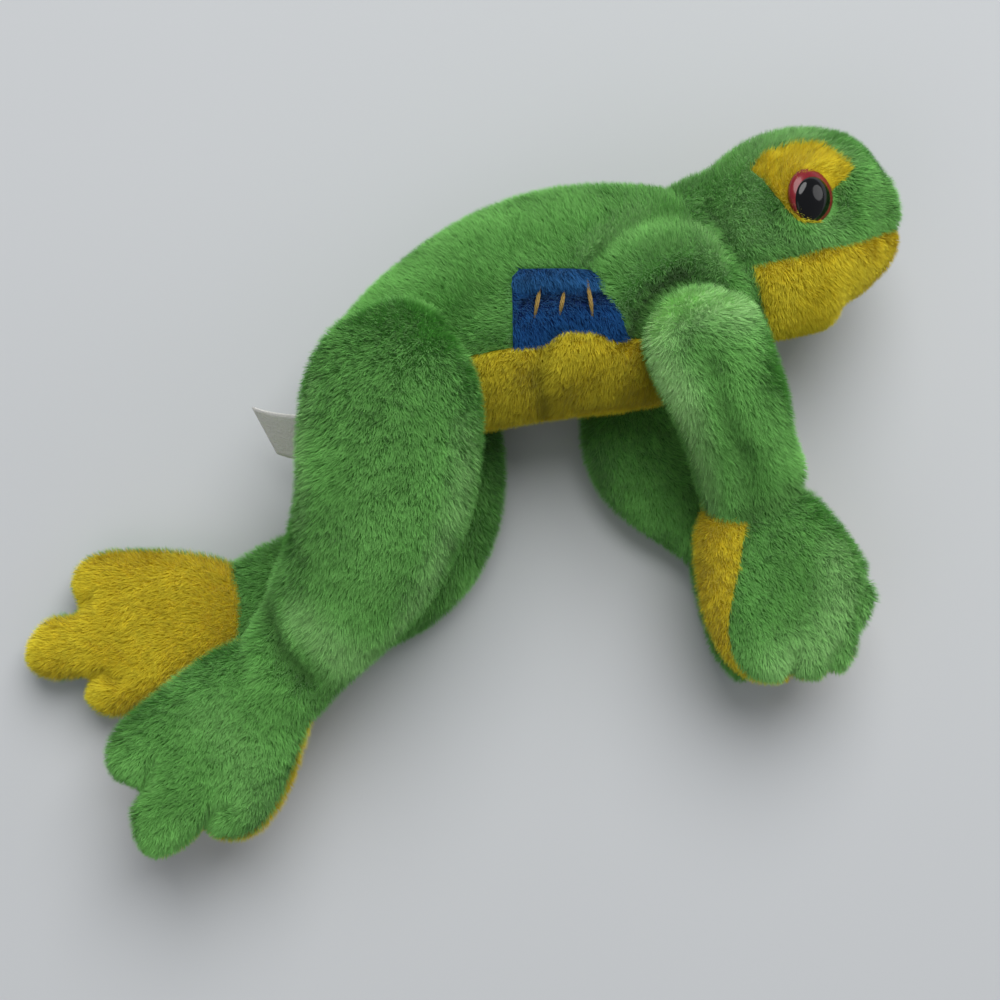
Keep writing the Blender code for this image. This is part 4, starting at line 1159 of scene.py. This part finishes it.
def lay_nap(mesh, nap, strokes):
    """Marks the nap's direction, the pile's height and its painted sheen and shade on a cloth's points.
    """
    points = points_of(mesh)
    normals = points_of(mesh, "normal")
    lay = np.array(nap, float)
    lay = lay / np.linalg.norm(lay)
    flat = lay - normals * (normals @ lay)[:, None]
    flat /= np.maximum(np.linalg.norm(flat, axis=1), LEAST_LAY)[:, None]
    height = np.ones(len(points))
    for place in eye_places.values():
        gap = np.linalg.norm(points - np.array(place) - (EYE_CLEARING_SHIFT, 0, 0), axis=1)
        left = ((gap - EYE_CLEARING) / EYE_CLEARING_FADE).clip(SHORTEST_SHARE, 1)
        height = np.minimum(height, left)
    bloom = np.zeros(len(points))
    upper = (normals[:, 2] / UPPER_SLOPE).clip(0, 1)
    for pixels, width, amount in strokes:
        gap = line_distance(points, seen(pixels, FLANK_HEIGHT))
        bloom += amount * np.exp(-((gap / width) ** 2)) * upper
    mesh.attributes.new("nap", "FLOAT_VECTOR", "POINT").data.foreach_set("vector", flat.ravel())
    mesh.attributes.new("height", "FLOAT", "POINT").data.foreach_set("value", height)
    mesh.attributes.new("bloom", "FLOAT", "POINT").data.foreach_set("value", bloom)


def map_fibres(mesh):
    """A place of its own on the bake's map for each fibre, so that its colours can be kept."""
    count = len(mesh.vertices) // 3
    side = math.ceil(math.sqrt(max(count, 1)))
    corner = np.empty(len(mesh.loops), np.int32)
    mesh.loops.foreach_get("vertex_index", corner)
    spot = np.array(FIBRE_SPOT_SHARES)
    which = corner // 3
    places = np.stack([which % side, which // side], 1) + spot[corner % 3]
    mesh.uv_layers.new(name="OFBake").uv.foreach_set("vector", (places / side).astype(np.float32).ravel())


for count, part in enumerate(plush_parts):
    cloth = part["cloth"]
    others_mesh = joined("others", [w.data for w in wholes.values() if w is not part["whole"]])
    others_object = held_object("others", others_mesh)
    lay_nap(cloth.data, part["nap"], part["bloom"])
    pile = held_object(cloth.name.replace("cloth", "pile"), cloth.data.copy())
    growth = pile.modifiers.new("pile", "NODES")
    growth.node_group = tree
    area = sum(face.area for face in cloth.data.polygons)
    density = min(PILE_DENSITY, MOST_FIBRES / area)
    values = {
        "Fibre": blade,
        "Neighbours": others_object,
        "Density": density * 1,
        "Length": part["length"],
        "Width": FIBRE_WIDTH * 1,
        "Lean": LEAN,
        "Swirl": SWIRL,
        "Ruffle": RUFFLE,
        "Seed": FIRST_SEED + SEED_STEP * count,
        "Material": cloth.data.materials[0],
    }
    for name, value in values.items():
        growth[socket_names[name]] = value
    baked(pile)
    bpy.data.objects.remove(others_object)
    map_fibres(pile.data)
    shell = cloth.modifiers.new("thickness", "SOLIDIFY")
    shell.thickness = CLOTH_THICKNESS
    shell.offset = -1
    baked(cloth)
    for made in (cloth, pile):
        if len(part["bodies"]) == 2:
            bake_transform(made)
        else:
            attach(made, part["bodies"][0])
    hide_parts(part["solid"])
for whole in wholes.values():
    bpy.data.objects.remove(whole)
for made in list(bpy.data.objects):
    if made.name.startswith("seam"):
        bpy.data.objects.remove(made)
bpy.data.objects.remove(blade)


# Eyes: moulded plastic, a red iris with a raised black pupil set low in it, each closed behind. The
# shank that the solids have is inside the head, where nothing shows it, and isn't made here.
EYE_RADIUS = 0.0067
EYE_RISE = 0.0026
PUPIL_RADIUS = 0.0054
PUPIL_RISE = 0.0019
PUPIL_DROP = 0.0012
PUPIL_LIFT = 0.0011
PUPIL_SHIFT = 0.0005
EYE_SINK = 0.0008
PUPIL_TILT = math.radians(9)
EYE_TURN = math.radians(33)
EYE_LIFT = math.radians(4)
EYE_DEPTH = 0.0015
PUPIL_DEPTH = 0.0012
EYE_BACK_SHARES = [(0.97, 0.5), (0.90, 1)]
MOTTLE_SCALE = 420
MOTTLE_DETAIL = 2
EYE_RINGS = 14
EYE_STEPS = 48


def clouded(name, colour, roughness, scale, detail, shades):
    """A material whose colour clouds softly, with its tree, its shader and its cloud."""
    made, tree, shader = new_material(name)
    place = node(tree, "ShaderNodeTexCoord", {}).outputs["Object"]
    cloud = node(tree, "ShaderNodeTexNoise", {"Vector": place, "Scale": scale, "Detail": detail})
    spread = ranged(tree, cloud.outputs["Fac"], FULL_RANGE, shades)
    tinted = node(tree, "ShaderNodeVectorMath", {0: colour, 1: spread}, operation="MULTIPLY")
    tree.links.new(tinted.outputs[0], shader.inputs["Base Color"])
    shader.inputs["Roughness"].default_value = roughness
    return made, tree, shader, cloud.outputs["Fac"]


def gloss(name, colour, roughness, mottle):
    """Polished moulded plastic, very slightly clouded within."""
    shades = (1 - mottle, 1 + mottle)
    made, _, shader, _ = clouded(name, colour, roughness, MOTTLE_SCALE, MOTTLE_DETAIL, shades)
    shader.inputs["Specular IOR Level"].default_value = 0.3
    shader.inputs["Coat Weight"].default_value = 0.25
    shader.inputs["Coat Roughness"].default_value = 0.04
    return made


iris_gloss = gloss("iris", (0.22, 0.013, 0.020), roughness=0.25, mottle=0.3)
pupil_gloss = gloss("pupil", (0.002, 0.002, 0.003), roughness=0.10, mottle=0.2)


def dome(name, radius, rise, depth, matrix, material):
    """A polished dome with a rolled edge, closed behind."""
    bm = bmesh.new()
    rings = []
    for i in range(EYE_RINGS + 1):
        turn = math.pi / 2 * i / EYE_RINGS
        rings.append((radius * math.sin(turn), rise * math.cos(turn)))
    rings += [(radius * wide, -depth * deep) for wide, deep in EYE_BACK_SHARES]
    top = bm.verts.new((0, 0, rise))
    bottom = bm.verts.new((0, 0, -depth))
    circles = []
    for out, height in rings[1:]:
        circle = []
        for step in range(EYE_STEPS):
            turn = math.tau * step / EYE_STEPS
            circle.append(bm.verts.new((out * math.cos(turn), out * math.sin(turn), height)))
        circles.append(circle)
    for step in range(EYE_STEPS):
        other = (step + 1) % EYE_STEPS
        bm.faces.new((top, circles[0][step], circles[0][other]))
        bm.faces.new((bottom, circles[-1][other], circles[-1][step]))
        for inner, outer in zip(circles, circles[1:]):
            bm.faces.new((inner[step], outer[step], outer[other], inner[other]))
    bmesh.ops.transform(bm, matrix=matrix, verts=bm.verts)
    bmesh.ops.recalc_face_normals(bm, faces=bm.faces)
    mesh = meshed(bm, name)
    mesh.shade_smooth()
    mesh.materials.append(material)
    return held_object(name, mesh)


for side, word in SIDES:
    tilt = Matrix.Rotation(side * EYE_TURN, 4, "Y") @ Matrix.Rotation(-side * EYE_LIFT, 4, "X")
    flip = Matrix.Rotation(0 if side == 1 else math.pi, 4, "X")
    seat = Matrix.Translation(eye_places[side]) @ tilt @ flip @ Matrix.Translation((0, 0, -EYE_SINK))
    eye = dome(f"iris_dome_{word}", EYE_RADIUS, EYE_RISE, EYE_DEPTH, seat, iris_gloss)
    ahead = Matrix.Translation((-PUPIL_SHIFT, -PUPIL_DROP * side, PUPIL_LIFT))
    ahead = seat @ (ahead @ Matrix.Rotation(PUPIL_TILT * side, 4, "X"))
    pupil = dome(f"pupil_dome_{word}", PUPIL_RADIUS, PUPIL_RISE, PUPIL_DEPTH, ahead, pupil_gloss)
    for made, node_name, slot in ((eye, "eye", "iris_plastic"), (pupil, "pupil", "pupil_plastic")):
        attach(made, "head")
        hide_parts(f"{node_name}_{word}")


# Hidden pieces: loose white fibre filling in every part of the toy, and nylon washers that lock the
# eyes. They keep the shapes that the construction gives them.
LUMP_HEIGHT = 0.0004
CLOUD_DETAIL = 4
CLOUD_RANGE = (0.82, 1)


def cloudy(name, colour, roughness, scale):
    """A matt material, clouded within and a little uneven."""
    made, tree, shader, cloud = clouded(name, colour, roughness, scale, CLOUD_DETAIL, CLOUD_RANGE)
    lumps = node(tree, "ShaderNodeBump", {"Height": cloud, "Distance": LUMP_HEIGHT})
    tree.links.new(lumps.outputs["Normal"], shader.inputs["Normal"])
    return made


filling = cloudy("fibre filling", (0.88, 0.88, 0.86), roughness=1.0, scale=900)
nylon = cloudy("nylon", (0.82, 0.82, 0.78), roughness=0.4, scale=300)
for name, made in frame["nodes"].items():
    if "stuffing" in name:
        coat(made.data, filling)
    if "washer" in name:
        coat(made.data, nylon)


# Stitches: three bars of gold embroidery thread across each blue patch, which gather it. Each is a
# bundle of twisted strands that narrows where it goes into the cloth.
THREAD_RADIUS = 0.00022
STRANDS = 4
BUNDLE_RADIUS = 0.00034
STITCH_LIFT = 0.0018
TWISTS = 1.5
STITCH_POINTS = 17
STRAND_END_SHARE = 0.6
TWIST_END_SHARE = 0.25
STITCH_SHARES = [
    (-0.045, -0.013, 0.068, 0.18),
    (0.006, -0.015, 0.054, 0.19),
    (0.064, -0.007, 0.084, -0.13),
]
thread = cloudy("gold thread", (0.40, 0.26, 0.06), roughness=0.6, scale=2600)
for side, word in SIDES:
    patch = bpy.data.objects[f"flank_patch_cloth_{word}"].data
    corners = [vert.co for vert in patch.vertices]
    cloth_tree = BVHTree.FromPolygons(corners, [face.vertices for face in patch.polygons])
    for count, (x, y, length, slant) in enumerate(STITCH_SHARES, 1):
        curve = bpy.data.curves.new("strand", "CURVE")
        curve.dimensions = "3D"
        curve.bevel_depth = THREAD_RADIUS
        curve.bevel_resolution = 2
        curve.use_fill_caps = True
        for strand in range(STRANDS):
            line = curve.splines.new("POLY")
            line.points.add(STITCH_POINTS - 1)
            for i, point in enumerate(line.points):
                share = i / (STITCH_POINTS - 1)
                bow = math.sin(math.pi * share)
                turn = math.tau * (TWISTS * share + strand / STRANDS)
                around = BUNDLE_RADIUS * (TWIST_END_SHARE + (1 - TWIST_END_SHARE) * bow)
                up = length * (share - 0.5)
                centre = torso_place + Vector((x + slant * up, y + up, 0)) * BODY_LENGTH
                above = Vector((centre.x, centre.y, MIDDLE_HEIGHT + side * BODY_WIDTH))
                level = cloth_tree.ray_cast(above, Vector((0, 0, -side)))[0].z
                point.co = (
                    centre.x + around * math.cos(turn),
                    centre.y,
                    level + side * (around * math.sin(turn) + STITCH_LIFT * bow),
                    1,
                )
                point.radius = STRAND_END_SHARE + (1 - STRAND_END_SHARE) * bow
        held = held_object("strands", curve)
        graph = bpy.context.evaluated_depsgraph_get()
        mesh = bpy.data.meshes.new_from_object(held.evaluated_get(graph))
        bpy.data.objects.remove(held)
        coat(mesh, thread)
        mesh.shade_smooth()
        stitch = held_object(f"gold_stitch_{word}_{count}", mesh)
        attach(stitch, "torso")
        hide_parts(f"patch_stitch_{word}_{count}")


# Label: a short woven ribbon, white and left blank, a little curled. Its end is caught in the rump
# seam, so it rides on the torso and lies against the back.
TAG_LENGTH = 0.0150
TAG_WIDTH = 0.0160
TAG_TUCK = 0.0015
TAG_PLACE_SHARES = (-0.547, -0.290)
TAG_ALONG = Vector((-0.742, 0.230, -0.63)).normalized()
TAG_ACROSS = Vector((0.319, -0.707, -0.63)).normalized()
TAG_STEPS = 12
TAG_THICKNESS = 0.0004
TAG_CURL = 0.0016
TAG_CURL_SHARE = 0.6
ribbon = cloudy("ribbon", (0.86, 0.85, 0.80), roughness=0.7, scale=1500)
tag_axes = Matrix((TAG_ALONG, TAG_ACROSS, TAG_ALONG.cross(TAG_ACROSS))).transposed()
tag_matrix = placed(torso_place + Vector((*TAG_PLACE_SHARES, 0)) * BODY_LENGTH, 0) @ tag_axes.to_4x4()
bm = bmesh.new()
rows = []
for i in range(TAG_STEPS + 1):
    x = TAG_LENGTH * i / TAG_STEPS - TAG_TUCK
    curl = TAG_CURL * math.sin(math.pi * TAG_CURL_SHARE * i / TAG_STEPS)
    places = [(x, TAG_WIDTH * (j / TAG_STEPS - 0.5), curl) for j in range(TAG_STEPS + 1)]
    rows.append([bm.verts.new(place) for place in places])
for low, high in zip(rows, rows[1:]):
    for j in range(TAG_STEPS):
        bm.faces.new((low[j], high[j], high[j + 1], low[j + 1]))
bmesh.ops.transform(bm, matrix=tag_matrix, verts=bm.verts)
bmesh.ops.recalc_face_normals(bm, faces=bm.faces)
tag_mesh = meshed(bm, "label")
tag_mesh.materials.append(ribbon)
tag_mesh.shade_smooth()
label = held_object("label", tag_mesh)
weave = label.modifiers.new("weave", "SOLIDIFY")
weave.thickness = TAG_THICKNESS
weave.offset = 0
baked(label)
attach(label, "torso")
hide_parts("tag")


# Room: a pale matt table top that the toy lies on, and soft light from above, from one side and from
# a pale sky. No other object is near.
FLOOR_HALF = 1.5
FLOOR_CORNER_SIGNS = [(-1, -1), (1, -1), (1, 1), (-1, 1)]
floor_corners = [(x * FLOOR_HALF, y * FLOOR_HALF, 0) for x, y in FLOOR_CORNER_SIGNS]
floor_mesh = bpy.data.meshes.new("floor")
floor_mesh.from_pydata(floor_corners, [], [(0, 1, 2, 3)])
floor = held_object("floor", floor_mesh)
table_top, _, table_shader = new_material("table top")
table_shader.inputs["Base Color"].default_value = (0.62, 0.635, 0.65, 1)
table_shader.inputs["Roughness"].default_value = 0.8
floor_mesh.materials.append(table_top)


def lamp(name, place, size, power):
    """A soft round light that faces the toy."""
    light = bpy.data.lights.new(name, "AREA")
    light.shape = "DISK"
    light.size = size
    light.energy = power
    made = held_object(name, light)
    made.location = place
    made.rotation_euler = (-Vector(place)).to_track_quat("-Z", "Y").to_euler()


lamp("key", (0.30, 1.15, 1.50), size=1.7, power=33.5)
lamp("window", (1.55, 0.40, 0.43), size=0.7, power=2)
lamp("fill", (-0.5, -0.6, 1.0), size=0.8, power=0.8)
world = bpy.data.worlds.new("room")
world.use_nodes = True
backdrop = world.node_tree.nodes["Background"]
backdrop.inputs["Color"].default_value = (0.92, 0.96, 1.0, 1)
backdrop.inputs["Strength"].default_value = 0.26
bpy.context.scene.world = world
bpy.context.scene.view_settings.view_transform = "Standard"
